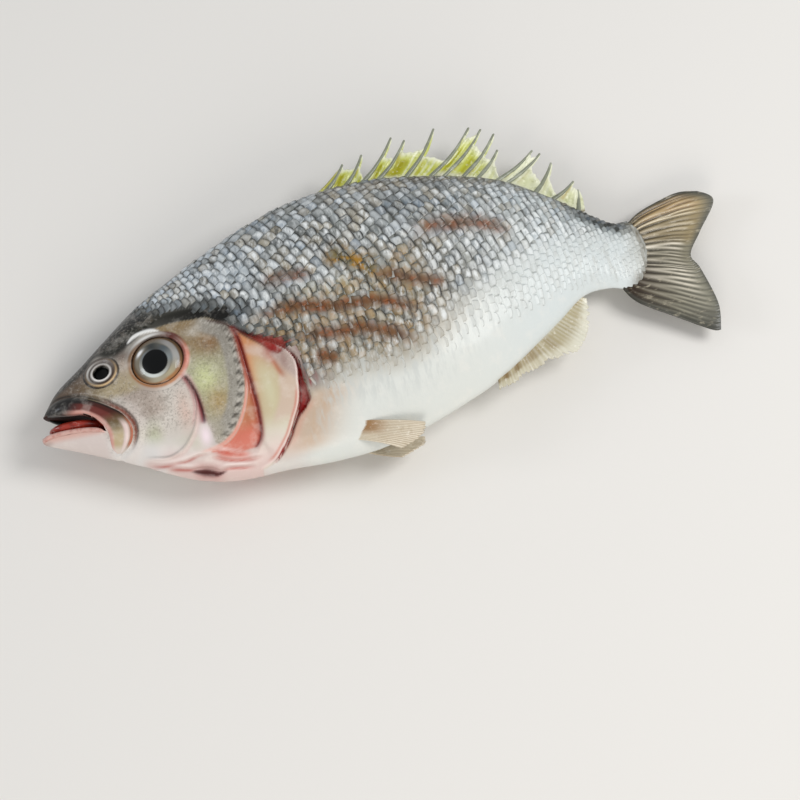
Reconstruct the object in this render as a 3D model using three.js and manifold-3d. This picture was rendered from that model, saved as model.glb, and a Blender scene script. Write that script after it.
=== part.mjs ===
// Whole raw fish, a deep-bodied striped food fish, lying on its right flank with its mouth open.
// Millimetres. +X runs from the snout to the tail, +Y from the belly to the back, and +Z up through
// the left flank. The origin is under the middle of the fish, on the surface it lies on.
import * as THREE from "three";
import { mergeVertices } from "three/addons/utils/BufferGeometryUtils.js";
import Module from "manifold-3d";

// ---- Driving sizes ----
const LIE = 26; // height of the backbone plane over the table, a little less than half the girth
const DROOP = 15; // how far the tail sinks under its own weight
const DROOP_FROM = 190; // where the droop begins
const DROOP_TO = 360; // and where it ends
const GAP = 0.3; // clearance round an eye, the tongue and the root of a fin

// Sections of the trunk and head, snout to tail: the point on the back, the point on the belly,
// half the thickness, and how far up from the belly the fish is thickest.
const SECTIONS = [
  { back: [0, -12.5], belly: [0, -12.5], half: 0, widest: 0.5 },
  { back: [1.5, -6], belly: [1, -17], half: 3.6, widest: 0.5 },
  { back: [5.5, 0], belly: [7, -20.3], half: 6.2, widest: 0.5 },
  { back: [13, 8.6], belly: [16, -24.6], half: 9.6, widest: 0.48 },
  { back: [28, 19], belly: [30, -31.8], half: 13.8, widest: 0.46 },
  { back: [42.5, 29.8], belly: [45, -39.8], half: 17.3, widest: 0.46 },
  { back: [58.5, 41], belly: [60, -48.8], half: 20.4, widest: 0.46 },
  { back: [76, 50.4], belly: [76, -56.2], half: 23.4, widest: 0.47 },
  { back: [96, 60], belly: [94, -59.8], half: 26, widest: 0.5 },
  { back: [117, 68.8], belly: [115, -60.2], half: 27.8, widest: 0.53 },
  { back: [141, 76.8], belly: [140, -61.9], half: 28.5, widest: 0.55 },
  { back: [165.5, 80.3], belly: [164, -61], half: 28, widest: 0.56 },
  { back: [190, 80.9], belly: [187, -56], half: 26.5, widest: 0.56 },
  { back: [214, 77.8], belly: [208, -49.2], half: 24, widest: 0.55 },
  { back: [238, 72.9], belly: [228, -41], half: 20.5, widest: 0.54 },
  { back: [260, 65.8], belly: [249, -28.5], half: 16.2, widest: 0.52 },
  { back: [281, 52.6], belly: [268, -16], half: 12, widest: 0.51 },
  { back: [296, 40.8], belly: [284, -5], half: 8.8, widest: 0.5 },
  { back: [309, 31.2], belly: [298, -3.6], half: 6.4, widest: 0.5 },
  { back: [318, 30], belly: [308, -6], half: 4.4, widest: 0.5 },
  { back: [322.6, 23], belly: [316.5, -2.6], half: 2.8, widest: 0.5 },
  { back: [323.7, 11.5], belly: [323.7, 11.5], half: 0, widest: 0.5 },
];
const BACK_ROUND = [2.1, 1.9]; // powers that round a section from its widest point up to the back
const BELLY_ROUND = [2, 1.75]; // and down to the belly
const RINGS_PER_SECTION = 2;
const POINTS_ROUND = 36;
const SEARCH_STEPS = 30; // halvings when a curve is searched for a point

// Head
const EYE = { at: [65.1, 4.4], ball: 12.6, bulge: 7.6, sunk: 4.2, rimRadius: 13.9, rimThick: 1.9 };
const NOSTRIL = { at: [36.2, 7.4], dish: 5.6, deep: 3.4, sunk: -0.6, rimRadius: 7, rimThick: 1.7 };
const MOUTH_ROOF = [[-8, 1], [5.5, -4], [13.6, -7.2], [22, -9.4], [27.8, -13.4], [31.7, -18.7]];
const MOUTH_FLOOR = [[32.4, -22], [29.6, -20.6], [20, -17.2], [10, -15.4], [2.4, -14.6], [-8, -14]];
const TONGUE = { at: [19.5, -14.8], long: 12.5, high: 4, wide: 7.6, tilt: -0.2 };
const LIP_INNER = [
  [5.5, -3.4], [13.6, -7.2], [22, -9.4], [27.8, -13.4], [31.7, -18.7], [33.1, -24.7], [31.8, -30],
];
const LIP_OUTER = [
  [9.5, 2.2], [18.9, 0.6], [28.3, -4.6], [37.1, -11.5], [43.9, -19.3], [43.6, -28.6], [35, -32],
];
const LIP_PLUMP = 2; // how far the upper lip stands off the jaw
const LIP_ROUND = 0.7; // power that rounds it from edge to edge

// Gill covers. Each is a thin wedge of bone and skin: flush along its front, proud at its free edge.
const GILL_PLATES = [
  {
    front: [[62, -14], [60, -20], [57, -26], [50, -31], [43, -33]],
    free: [[76.1, -7.4], [78.8, -21], [75, -34.3], [63.3, -42.9], [45, -38]],
    proud: 1.1,
  },
  {
    front: [[90, 14], [85, 2], [83, -12], [81, -24], [77, -34], [71, -41]],
    free: [[97.5, 15.9], [105, 2.5], [105.3, -11.3], [103, -24.9], [97, -37], [79, -45]],
    proud: 1.4,
  },
  {
    front: [[98, 13], [103, 0], [103, -13], [100, -26], [95, -37], [84, -47]],
    free: [[103.2, 11.9], [121, -2.4], [130.9, -17.7], [128, -34.5], [119.3, -48.4], [103, -58.3]],
    proud: 2.4,
  },
];
const PLATE_DIP = 0.8; // how far a plate's front edge dips into the skin
const PLATE_SUNK = 3; // how deep a plate's underside lies in the head
const PLATE_FADE = 0.35; // power with which its free edge sinks to the skin at both ends

// Back fin: one row for each spine, with its foot along the back, how far it leans back and rises,
// and the share of it that the web behind and the web before it reach up to.
const SPINES = [
  { foot: 169.3, lean: 12.4, rise: 13.1, webBehind: 0.75, webBefore: 0 },
  { foot: 180.1, lean: 12.5, rise: 15.4, webBehind: 0.9, webBefore: 0.25 },
  { foot: 189.2, lean: 20.6, rise: 21.3, webBehind: 0.55, webBefore: 0.06 },
  { foot: 197.4, lean: 18.8, rise: 19, webBehind: 0.75, webBefore: 0.62 },
  { foot: 211.3, lean: 21.5, rise: 24.1, webBehind: 0.6, webBefore: 0.5 },
  { foot: 224.1, lean: 26.7, rise: 23.2, webBehind: 0.92, webBefore: 0.35 },
  { foot: 230.6, lean: 26.1, rise: 22.4, webBehind: 0.75, webBefore: 0.85 },
  { foot: 240.3, lean: 22.5, rise: 20.9, webBehind: 0.55, webBefore: 0.45 },
  { foot: 247.8, lean: 14.5, rise: 13.6, webBehind: 0.8, webBefore: 0.6 },
  { foot: 257.8, lean: 22.2, rise: 13.2, webBehind: 1, webBefore: 0.05 },
  { foot: 262.4, lean: 21.1, rise: 12.9, webBehind: 0.6, webBefore: 0.95 },
  { foot: 275.5, lean: 12.4, rise: 14.7, webBehind: 0.6, webBefore: 0.25 },
  { foot: 283.5, lean: 13, rise: 7.8, webBehind: 1, webBefore: 0.1 },
  { foot: 294.5, lean: 3, rise: 11.5, webBehind: 0, webBefore: 1 },
];
const SPINE_THICK = 1.1; // radius of a spine at its foot
const SPINE_TIP = 0.4; // and at its tip
const SPINE_ROOT = 0.12; // share of its length that lies in the back
const WEB = { thick: 1, deep: 2, sag: 0.22 }; // depth in the back, and sag of its edge between spines
const BACK_FIN_ROOT = { deep: 6, proud: 0.8, thick: 2.6, before: 3, behind: 2 };

// Tail fin: its two leading edges, the line of its root inside the trunk and its forked free edge.
const TAIL_TOP = [[311, 24], [323, 33.4], [339, 38.9], [348.8, 40.6], [357.9, 38.9]];
const TAIL_BOTTOM = [[303, 0], [309, -13], [327.5, -26.4], [342.8, -36.9], [347.7, -38.1]];
const TAIL_ROOT = [[311, 24], [312, 12], [303, 0]];
const TAIL_EDGE = [
  [357.9, 38.9], [364.9, 31.8], [353.5, 17.4], [344.5, 5.3], [347.2, -3.4], [350.4, -24.1], [347.7, -38.1],
];
const TAIL_THICK = { root: 2.6, edge: 1 };
const TAIL_LONG = 50; // from its root line to its free edge
const TAIL_RAYS = 15; // ridges from the root to the free edge
const TAIL_GROOVE = 0.35; // share of the thickness that the grooves between them take

// Belly fin near the tail: its line inside the belly, and its free edge.
const ANAL_ROOT = [[229, -36], [240, -28.5], [252, -21.5], [265, -12.5], [279, -3.5]];
const ANAL_EDGE = [[227.5, -45.5], [239.2, -42.6], [252, -36.4], [270.4, -33.4], [280.6, -21.2], [285.5, -7]];
const ANAL_THICK = { root: 2.4, edge: 0.9 };

// Side fin behind the gill cover: its corners at the root, in the flesh, and at the tip, each
// [x, y, distance from the backbone plane], and how far it bows outwards between them.
const SIDE_ROOT = [[146, -46.5, 10.5], [147, -54.5, 6.5]];
const SIDE_TIP = [[186.5, -57, 11.5], [172, -66, 6]];
const SIDE_BOW = 3;
const SIDE_ROUND = 4; // how far the middle of its free edge stands out past the corners
const SIDE_THICK = { root: 2.2, edge: 0.9 };

const TABLE = [900, 500, 60]; // slab that flattens the flank the fish lies on

// ---- Materials ----
const skin = new THREE.MeshStandardMaterial({ color: "#a9adab", roughness: 0.38, metalness: 0.15 });
const eyeball = new THREE.MeshStandardMaterial({ color: "#15181a", roughness: 0.08, metalness: 0 });
const spinyFin = new THREE.MeshStandardMaterial({ color: "#cfd07a", roughness: 0.45, metalness: 0 });
const tailSkin = new THREE.MeshStandardMaterial({ color: "#85796a", roughness: 0.45, metalness: 0 });
const paleFin = new THREE.MeshStandardMaterial({ color: "#ded3ad", roughness: 0.45, metalness: 0 });
const flesh = new THREE.MeshStandardMaterial({ color: "#c8301c", roughness: 0.3, metalness: 0 });

// ---- Solids ----
const wasm = await Module();
wasm.setup();

function solidOf(geometry) {
  geometry.deleteAttribute("normal");
  geometry.deleteAttribute("uv");
  const merged = mergeVertices(geometry, 1e-4);
  const triVerts = new Uint32Array(merged.index.array);
  const vertProperties = merged.getAttribute("position").array;
  return new wasm.Manifold(new wasm.Mesh({ numProp: 3, vertProperties, triVerts }));
}

function meshOf(name, solid, material) {
  const { vertProperties, triVerts } = solid.getMesh();
  const geometry = new THREE.BufferGeometry();
  geometry.setAttribute("position", new THREE.BufferAttribute(vertProperties, 3));
  geometry.setIndex(new THREE.BufferAttribute(triVerts, 1));
  const mesh = new THREE.Mesh(geometry.toNonIndexed(), material);
  mesh.geometry.computeVertexNormals();
  mesh.name = name;
  return mesh;
}

function geometryOf(points, faces) {
  const geometry = new THREE.BufferGeometry().setFromPoints(points);
  geometry.setIndex(faces.flat());
  return geometry;
}

// A plate between two faces, each given over a grid of shares a and b from 0 to 1.
function plate(cellsA, cellsB, upper, lower) {
  const points = [];
  for (const face of [upper, lower])
    for (let i = 0; i <= cellsA; i++)
      for (let j = 0; j <= cellsB; j++) points.push(face(i / cellsA, j / cellsB));
  const top = (i, j) => i * (cellsB + 1) + j;
  const under = (i, j) => (cellsA + 1) * (cellsB + 1) + top(i, j);
  const faces = [];
  const quad = (p, q, r, s) => faces.push([p, q, r], [p, r, s]);
  for (let i = 0; i < cellsA; i++)
    for (let j = 0; j < cellsB; j++) {
      quad(top(i, j), top(i + 1, j), top(i + 1, j + 1), top(i, j + 1));
      quad(under(i, j), under(i, j + 1), under(i + 1, j + 1), under(i + 1, j));
    }
  for (let i = 0; i < cellsA; i++) {
    quad(top(i, 0), under(i, 0), under(i + 1, 0), top(i + 1, 0));
    quad(top(i, cellsB), top(i + 1, cellsB), under(i + 1, cellsB), under(i, cellsB));
  }
  for (let j = 0; j < cellsB; j++) {
    quad(top(0, j), top(0, j + 1), under(0, j + 1), under(0, j));
    quad(top(cellsA, j), under(cellsA, j), under(cellsA, j + 1), top(cellsA, j + 1));
  }
  const made = solidOf(geometryOf(points, faces));
  // The grid may run either way round, so a plate that came inside out is turned.
  return made.volume() > 0 ? made : solidOf(geometryOf(points, faces.map(([p, q, r]) => [p, r, q])));
}

const spline = (points) => new THREE.SplineCurve(points.map(([x, y]) => new THREE.Vector2(x, y)));
const union = (solids) => solids.reduce((whole, next) => whole.add(next));

// ---- The form of the trunk and head ----
const backLine = spline(SECTIONS.map((section) => section.back));
const bellyLine = spline(SECTIONS.map((section) => section.belly));
const girth = spline(SECTIONS.map((section) => [section.half, section.widest]));

// Height of the backbone plane at a distance from the snout.
const backbone = (x) => LIE - DROOP * THREE.MathUtils.smoothstep(x, DROOP_FROM, DROOP_TO);

// Share of the half thickness at height t of a section, from 0 on the belly to 1 on the back.
function roundness(t, widest) {
  const up = t >= widest;
  const [bend, square] = up ? BACK_ROUND : BELLY_ROUND;
  const away = up ? (t - widest) / (1 - widest) : (widest - t) / widest;
  return Math.max(0, 1 - away ** bend) ** (1 / square);
}

// The point of the section at u along the fish and t up it, with its distance from the backbone plane.
function trunkAt(u, t) {
  const spot = bellyLine.getPoint(u).lerp(backLine.getPoint(u), t);
  const { x: half, y: widest } = girth.getPoint(u);
  return { spot, out: half * roundness(t, widest) };
}

// The same distance at a given x and y: finds the section that passes through the point.
function flankAt(x, y) {
  const spot = new THREE.Vector2(x, y);
  let [low, high] = [1e-4, 1];
  for (let step = 0; step < SEARCH_STEPS; step++) {
    const u = (low + high) / 2;
    const belly = bellyLine.getPoint(u);
    const across = backLine.getPoint(u).sub(belly);
    if (across.cross(spot.clone().sub(belly)) < 0) low = u;
    else high = u;
  }
  const belly = bellyLine.getPoint(low);
  const across = backLine.getPoint(low).sub(belly);
  const t = THREE.MathUtils.clamp(spot.sub(belly).dot(across) / across.lengthSq(), 0, 1);
  return trunkAt(low, t).out;
}

function makeTrunk() {
  const rings = (SECTIONS.length - 1) * RINGS_PER_SECTION;
  const half = POINTS_ROUND / 2;
  const points = [];
  const at = (u, t, side) => {
    const { spot, out } = trunkAt(u, t);
    return new THREE.Vector3(spot.x, spot.y, backbone(spot.x) + side * out);
  };
  points.push(at(0, 0, 1));
  for (let i = 1; i < rings; i++)
    for (let j = 0; j < POINTS_ROUND; j++) {
      const up = j <= half ? j / half : 2 - j / half;
      points.push(at(i / rings, (1 - Math.cos(Math.PI * up)) / 2, j <= half ? 1 : -1));
    }
  points.push(at(1, 0, 1));
  const last = points.length - 1;
  const ring = (i, j) => 1 + (i - 1) * POINTS_ROUND + (j % POINTS_ROUND);
  const faces = [];
  for (let j = 0; j < POINTS_ROUND; j++) {
    faces.push([0, ring(1, j), ring(1, j + 1)]);
    faces.push([last, ring(rings - 1, j + 1), ring(rings - 1, j)]);
    for (let i = 1; i < rings - 1; i++) {
      faces.push([ring(i, j), ring(i + 1, j), ring(i + 1, j + 1)]);
      faces.push([ring(i, j), ring(i + 1, j + 1), ring(i, j + 1)]);
    }
  }
  return solidOf(geometryOf(points, faces));
}

// ---- What stands on a flank; side is 1 for the left and -1 for the right ----
function onFlank(x, y, lift, side) {
  return new THREE.Vector3(x, y, backbone(x) + side * (flankAt(x, y) + lift));
}

// Turns a geometry's +Z to the flank's outward normal and sets it there.
function setOnFlank(geometry, [x, y], lift, side) {
  const step = 3;
  const slopeX = (flankAt(x + step, y) - flankAt(x - step, y)) / (2 * step);
  const slopeY = (flankAt(x, y + step) - flankAt(x, y - step)) / (2 * step);
  const normal = new THREE.Vector3(-slopeX, -slopeY, side).normalize();
  geometry.applyQuaternion(new THREE.Quaternion().setFromUnitVectors(new THREE.Vector3(0, 0, 1), normal));
  const foot = onFlank(x, y, 0, side).addScaledVector(normal, lift);
  return geometry.translate(foot.x, foot.y, foot.z);
}

// A plate on the flank between an inner and an outer line, with its lift given across and along it.
function flankPlate(inner, outer, cellsAcross, cellsAlong, lift, side) {
  const [innerLine, outerLine] = [spline(inner), spline(outer)];
  const face = (liftAt) => (a, b) => {
    const spot = innerLine.getPoint(b).lerp(outerLine.getPoint(b), a);
    return onFlank(spot.x, spot.y, liftAt(a, b), side);
  };
  return plate(cellsAcross, cellsAlong, face(lift), face(() => -PLATE_SUNK));
}

const fade = (b) => Math.sin(Math.PI * b) ** PLATE_FADE;

const gillPlate = ({ front, free, proud }, side) =>
  flankPlate(front, free, 2, 12, (a, b) => (proud + PLATE_DIP) * a * fade(b) - PLATE_DIP, side);
const upperLip = (side) =>
  flankPlate(LIP_INNER, LIP_OUTER, 4, 10, (a) => LIP_PLUMP * Math.sin(Math.PI * a) ** LIP_ROUND, side);
const rimOf = ({ at, rimRadius, rimThick }, side) =>
  solidOf(setOnFlank(new THREE.TorusGeometry(rimRadius, rimThick, 6, 16), at, 0, side));
const ballAt = (at, radius, bulge, lift, side) =>
  solidOf(setOnFlank(new THREE.SphereGeometry(1, 18, 10).scale(radius, radius, bulge), at, lift, side));
const eyeAt = (side, gap = 0) => ballAt(EYE.at, EYE.ball + gap, EYE.bulge + gap, -EYE.sunk, side);
const nostrilDish = (side) => ballAt(NOSTRIL.at, NOSTRIL.dish, NOSTRIL.deep, -NOSTRIL.sunk, side);

function mouthOpening() {
  const outline = new THREE.Shape(
    [...spline(MOUTH_ROOF).getPoints(12), ...spline(MOUTH_FLOOR).getPoints(10)].reverse(),
  );
  const opening = new THREE.ExtrudeGeometry(outline, { depth: 2 * LIE, bevelEnabled: false });
  return solidOf(opening);
}

function tongueWith(gap = 0) {
  const { at, long, high, wide, tilt } = TONGUE;
  const form = new THREE.SphereGeometry(1, 16, 10).scale(long + gap, high + gap, wide + gap);
  return solidOf(form.rotateZ(tilt).translate(at[0], at[1], LIE));
}

// ---- Fins ----
// A fin in the backbone plane: where(a, b) gives its point, a from the root to the free edge, and
// thick(a, b) its thickness.
function fin(cellsA, cellsB, where, thick) {
  const face = (side) => (a, b) => {
    const spot = where(a, b);
    return new THREE.Vector3(spot.x, spot.y, backbone(spot.x) + (side * thick(a, b)) / 2);
  };
  return plate(cellsA, cellsB, face(1), face(-1));
}

// Height of the back at a distance from the snout.
function backAt(x) {
  let [low, high] = [0, 1];
  for (let step = 0; step < SEARCH_STEPS; step++) {
    const u = (low + high) / 2;
    if (backLine.getPoint(u).x < x) low = u;
    else high = u;
  }
  return backLine.getPoint(low);
}

function backFinRoot(gap = 0) {
  const { deep, proud, thick, before, behind } = BACK_FIN_ROOT;
  const from = SPINES[0].foot - before - gap;
  const to = SPINES[SPINES.length - 1].foot + behind + gap;
  const where = (a, b) => {
    const foot = backAt(from + (to - from) * b);
    return foot.setY(foot.y - (deep + gap) * (1 - a) + proud * Math.sin(Math.PI * b) * a);
  };
  return fin(2, 14, where, () => thick + 2 * gap);
}

// The point a share of the way up a spine.
function onSpine({ foot, lean, rise }, share) {
  const base = backAt(foot);
  return new THREE.Vector2(foot + lean * share, base.y + rise * share);
}

function spineSolid(row) {
  const [root, tip] = [onSpine(row, -SPINE_ROOT), onSpine(row, 1)].map(
    ({ x, y }) => new THREE.Vector3(x, y, backbone(x)),
  );
  const along = tip.clone().sub(root);
  const form = new THREE.CylinderGeometry(SPINE_TIP, SPINE_THICK, along.length(), 6, 1);
  const turn = new THREE.Quaternion().setFromUnitVectors(new THREE.Vector3(0, 1, 0), along.normalize());
  const middle = root.lerp(tip, 0.5);
  return solidOf(form.applyQuaternion(turn).translate(middle.x, middle.y, middle.z));
}

function webSolid(front, rear) {
  const [from, to] = [onSpine(front, front.webBehind), onSpine(rear, rear.webBefore)];
  const where = (a, b) => {
    const foot = backAt(front.foot + (rear.foot - front.foot) * b);
    const base = foot.setY(foot.y - WEB.deep);
    const sag = 1 - WEB.sag * Math.sin(Math.PI * b);
    return base.lerp(from.clone().lerp(to, b), a * sag);
  };
  return fin(2, 3, where, () => WEB.thick);
}

function makeBackFin() {
  const webs = SPINES.slice(1).map((rear, i) => webSolid(SPINES[i], rear));
  return union([backFinRoot(), ...SPINES.map(spineSolid), ...webs]);
}

// A point of a curve, carried on straight past its ends.
function reach(curve, share) {
  const inside = THREE.MathUtils.clamp(share, 0, 1);
  const past = (share - inside) * curve.getLength();
  return curve.getPoint(inside).addScaledVector(curve.getTangent(inside), past);
}

// The patch that four edge curves bound: root and free run alike, and so do first and last.
function patch(first, last, root, free) {
  return (a, b) => {
    const ruledB = reach(first, a).lerp(reach(last, a), b);
    const ruledA = reach(root, b).lerp(reach(free, b), a);
    const rootMix = root.getPoint(0).lerp(root.getPoint(1), b);
    const freeMix = free.getPoint(0).lerp(free.getPoint(1), b);
    return ruledB.add(ruledA).sub(rootMix.lerp(freeMix, a));
  };
}

const tailPatch = patch(spline(TAIL_TOP), spline(TAIL_BOTTOM), spline(TAIL_ROOT), spline(TAIL_EDGE));

function makeTailFin() {
  const { root, edge } = TAIL_THICK;
  const groove = (a, b) => TAIL_GROOVE * a * (0.5 - 0.5 * Math.cos(2 * Math.PI * TAIL_RAYS * b));
  return fin(8, 2 * TAIL_RAYS, tailPatch, (a, b) => (root + (edge - root) * a) * (1 - groove(a, b)));
}

// The slot in the trunk that the tail fin's root sits in.
function tailSlot() {
  const rootLine = spline(TAIL_ROOT).getLength();
  const wider = (share, size, by) => share + (share - 0.5) * ((2 * by) / size);
  const where = (a, b) => tailPatch(a - GAP / TAIL_LONG, wider(b, rootLine, 2 * GAP));
  return fin(6, 8, where, () => TAIL_THICK.root + 2 * GAP);
}

function makeAnalFin(gap = 0) {
  const [root, edge] = [spline(ANAL_ROOT), spline(ANAL_EDGE)];
  const where = (a, b) => {
    const from = root.getPoint(b);
    const to = edge.getPoint(b);
    const grow = gap / from.distanceTo(to);
    return from.lerp(to, a * (1 + 2 * grow) - grow).setX(from.x + (b - 0.5) * 2 * gap);
  };
  const thick = (a) => ANAL_THICK.root + (ANAL_THICK.edge - ANAL_THICK.root) * a + 2 * gap;
  return fin(4, 14, where, thick);
}

function makeSideFin(side, gap = 0) {
  const corner = ([x, y, z]) => new THREE.Vector3(x, y, backbone(x) + side * z);
  const [rootTop, rootLow] = SIDE_ROOT.map(corner);
  const [tipTop, tipLow] = SIDE_TIP.map(corner);
  const across = rootTop.clone().sub(rootLow).normalize();
  const outward = tipTop.clone().sub(rootTop).normalize();
  const normal = across.clone().cross(outward).normalize();
  const face = (sign) => (a, b) => {
    const from = rootTop.clone().lerp(rootLow, b);
    const to = tipTop.clone().lerp(tipLow, b);
    const round = SIDE_ROUND * Math.sin(Math.PI * b) * a;
    const spot = from.lerp(to, a).addScaledVector(outward, round + gap * (2 * a - 1));
    spot.addScaledVector(across, gap * (1 - 2 * b));
    spot.z += side * SIDE_BOW * 4 * a * (1 - a);
    const thick = SIDE_THICK.root + (SIDE_THICK.edge - SIDE_THICK.root) * a + 2 * gap;
    return spot.addScaledVector(normal, (sign * thick) / 2);
  };
  return plate(6, 8, face(1), face(-1));
}

// ---- The fish ----
const sides = [1, -1];
const table = solidOf(new THREE.BoxGeometry(...TABLE).translate(0, 0, -TABLE[2] / 2));

function makeBody() {
  const raised = sides.flatMap((side) => [
    ...GILL_PLATES.map((row) => gillPlate(row, side)),
    upperLip(side),
    rimOf(EYE, side),
    rimOf(NOSTRIL, side),
  ]);
  const cut = [
    mouthOpening(),
    tongueWith(GAP),
    backFinRoot(GAP),
    tailSlot(),
    makeAnalFin(GAP),
    ...sides.flatMap((side) => [eyeAt(side, GAP), nostrilDish(side), makeSideFin(side, GAP)]),
    table,
  ];
  return union([makeTrunk(), ...raised]).subtract(union(cut));
}

const fish = new THREE.Group();
fish.add(
  meshOf("body", makeBody(), skin),
  meshOf("tongue", tongueWith(), flesh),
  meshOf("eye_left", eyeAt(1), eyeball),
  meshOf("eye_right", eyeAt(-1), eyeball),
  meshOf("dorsal_fin", makeBackFin(), spinyFin),
  meshOf("tail_fin", makeTailFin(), tailSkin),
  meshOf("anal_fin", makeAnalFin(), paleFin),
  meshOf("pectoral_fin_left", makeSideFin(1), paleFin),
  meshOf("pectoral_fin_right", makeSideFin(-1), paleFin),
);

// Brings the middle of the fish, seen from above, over the origin.
const middle = new THREE.Box3().setFromObject(fish).getCenter(new THREE.Vector3());
fish.position.set(-middle.x, -middle.y, 0);

const part = new THREE.Group();
part.add(fish);
export default part;
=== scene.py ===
"""Whole raw fish lying on its right flank: skin, scales, gill covers, mouth, eyes and fins.

Sizes are in millimetres in the fish's own frame: x runs from the snout to the tail, y from the
belly to the back and z up from the table. metres() turns such points into the part's frame.
"""

import bpy
import numpy as np
from bpy.props import FloatProperty, FloatVectorProperty, IntProperty, PointerProperty
from mathutils import Matrix, Vector


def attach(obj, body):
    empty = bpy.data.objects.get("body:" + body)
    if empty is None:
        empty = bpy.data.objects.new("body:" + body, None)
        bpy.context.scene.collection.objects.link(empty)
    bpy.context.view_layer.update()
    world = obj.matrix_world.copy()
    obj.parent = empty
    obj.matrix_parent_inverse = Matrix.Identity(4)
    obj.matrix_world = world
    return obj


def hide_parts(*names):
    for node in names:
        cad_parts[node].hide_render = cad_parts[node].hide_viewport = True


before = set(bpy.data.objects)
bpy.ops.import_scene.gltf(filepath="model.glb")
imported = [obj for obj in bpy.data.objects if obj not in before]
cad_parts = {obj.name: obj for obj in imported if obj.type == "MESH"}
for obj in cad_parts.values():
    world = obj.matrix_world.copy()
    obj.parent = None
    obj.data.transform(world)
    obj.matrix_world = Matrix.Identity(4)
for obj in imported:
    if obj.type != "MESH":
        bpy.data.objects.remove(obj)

bl_info = {
    "name": "Whole Raw Fish",
    "version": (1, 0, 0),
    "blender": (4, 5, 0),
    "location": "3D View > Sidebar > Fish",
    "description": "Builds a whole raw food fish with scales, gill covers and fins",
    "category": "Add Mesh",
}

IN_MM = 1000
BODY = "root"
SHIFT = np.array([-182.51, -18.192, 0.0])  # from the fish's own frame to the part's
TABLE_GAP = 0.05  # the lowest the skin comes over the table

# ---- Form of the trunk and head, as in the part ----
LIE, DROOP, DROOP_FROM, DROOP_TO = 26, 15, 190, 360
# Each section: the point on the back, the point on the belly, half the thickness, widest share.
SECTIONS = np.array([
    (0, -12.5, 0, -12.5, 0, 0.5), (1.5, -6, 1, -17, 3.6, 0.5), (5.5, 0, 7, -20.3, 6.2, 0.5),
    (13, 8.6, 16, -24.6, 9.6, 0.48), (28, 19, 30, -31.8, 13.8, 0.46),
    (42.5, 29.8, 45, -39.8, 17.3, 0.46), (58.5, 41, 60, -48.8, 20.4, 0.46),
    (76, 50.4, 76, -56.2, 23.4, 0.47), (96, 60, 94, -59.8, 26, 0.5),
    (117, 68.8, 115, -60.2, 27.8, 0.53), (141, 76.8, 140, -61.9, 28.5, 0.55),
    (165.5, 80.3, 164, -61, 28, 0.56), (190, 80.9, 187, -56, 26.5, 0.56),
    (214, 77.8, 208, -49.2, 24, 0.55), (238, 72.9, 228, -41, 20.5, 0.54),
    (260, 65.8, 249, -28.5, 16.2, 0.52), (281, 52.6, 268, -16, 12, 0.51),
    (296, 40.8, 284, -5, 8.8, 0.5), (309, 31.2, 298, -3.6, 6.4, 0.5),
    (318, 30, 308, -6, 4.4, 0.5), (322.6, 23, 316.5, -2.6, 2.8, 0.5),
    (323.7, 11.5, 323.7, 11.5, 0, 0.5),
], float)
BACK_ROUND, BELLY_ROUND = (2.1, 1.9), (2, 1.75)
SKIN_STEP_HEAD, SKIN_STEP_TRUNK, SKIN_HALF_RING = 0.58, 2.6, 150
HALVINGS = 22  # steps in which the section through a spot is searched for
LINE_PIECES = 5  # straight pieces that a curve is measured by, between two of its points

# ---- Lines on a flank ----
GILL_COVER = [
    (98.4, 15.6), (103.2, 11.9), (108, 6.6), (114.4, 1.5), (121.1, -2.4), (126, -6.8), (129.8, -11.9),
    (130.9, -17.7), (129.8, -24.5), (128.6, -31.3), (126.4, -37.2), (122.8, -42.9), (119.3, -48.4),
    (114.9, -53), (109.8, -56.7), (102.9, -58.5),
]
GILL_OPEN = [
    (-59, 0.4), (-50, 0.7), (-44, 1.0), (-40.5, 1.6), (-38, 3.4), (-34, 5.2), (-30, 4.2), (-24, 2.4),
    (-18, 1.2), (-10, 0.7), (-4, 0.6), (4, 0.6), (12, 0.3),
]
PANEL_EDGE = [
    (93, 19.5), (97.5, 15.9), (101.4, 13), (103.8, 8.3), (105, 2.5), (105.4, -4.1), (105.1, -11.3),
    (104.4, -18.3), (102.7, -24.9), (100.1, -31.1), (96.7, -36.5), (92.4, -41.1), (87.1, -43.9),
    (81.8, -44.8), (76, -44.6),
]
PANEL = [
    (66, 22.2), (73, 22.4), (79.5, 21.9), (86, 20.5), *PANEL_EDGE[:-2], (83.6, -44), (82.4, -38),
    (81.2, -32), (80.8, -25), (80, -18), (78.4, -12.6), (76.4, -8), (78.8, -3), (80.4, 3), (79.4, 9.5),
    (76, 15), (71, 19),
]
SALMON = [
    (104.6, 9), (105.6, 3), (106, -5), (106, -13), (105.3, -20), (103.6, -26), (101, -32), (97.6, -37.5),
    (93, -42.3), (87.5, -45), (80, -46), (85, -47.8), (92, -49.2), (98, -49.8), (102.5, -49.3),
    (105.2, -46.3), (106.6, -41.5), (107.3, -35.2), (107.4, -28.4), (107.1, -19.9), (106.6, -11.1),
    (106.4, -3.2), (106, 3.9),
]
YELLOW = [
    (103.5, 11.5), *GILL_COVER[2:], (100, -55), (103.5, -50.5), (105.9, -46.3), (107.1, -41.5),
    (107.8, -35.2), (107.9, -28.4), (107.6, -19.9), (107.1, -11.1), (106.9, -3.2), (106.4, 3.9),
]
GILL_GROOVE = [
    (94, 17.1), (100.2, 14), (104.3, 10.5), (110, 6.1), (116.9, 2.1), (122.1, -0.2), (126.5, -2.1),
    (131, -4.6), (128, -7), (124, -9.8), (120.3, -7.6), (115.7, -2.9), (109.3, 3.1), (104, 9.3), (98, 14.3),
]
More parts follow.
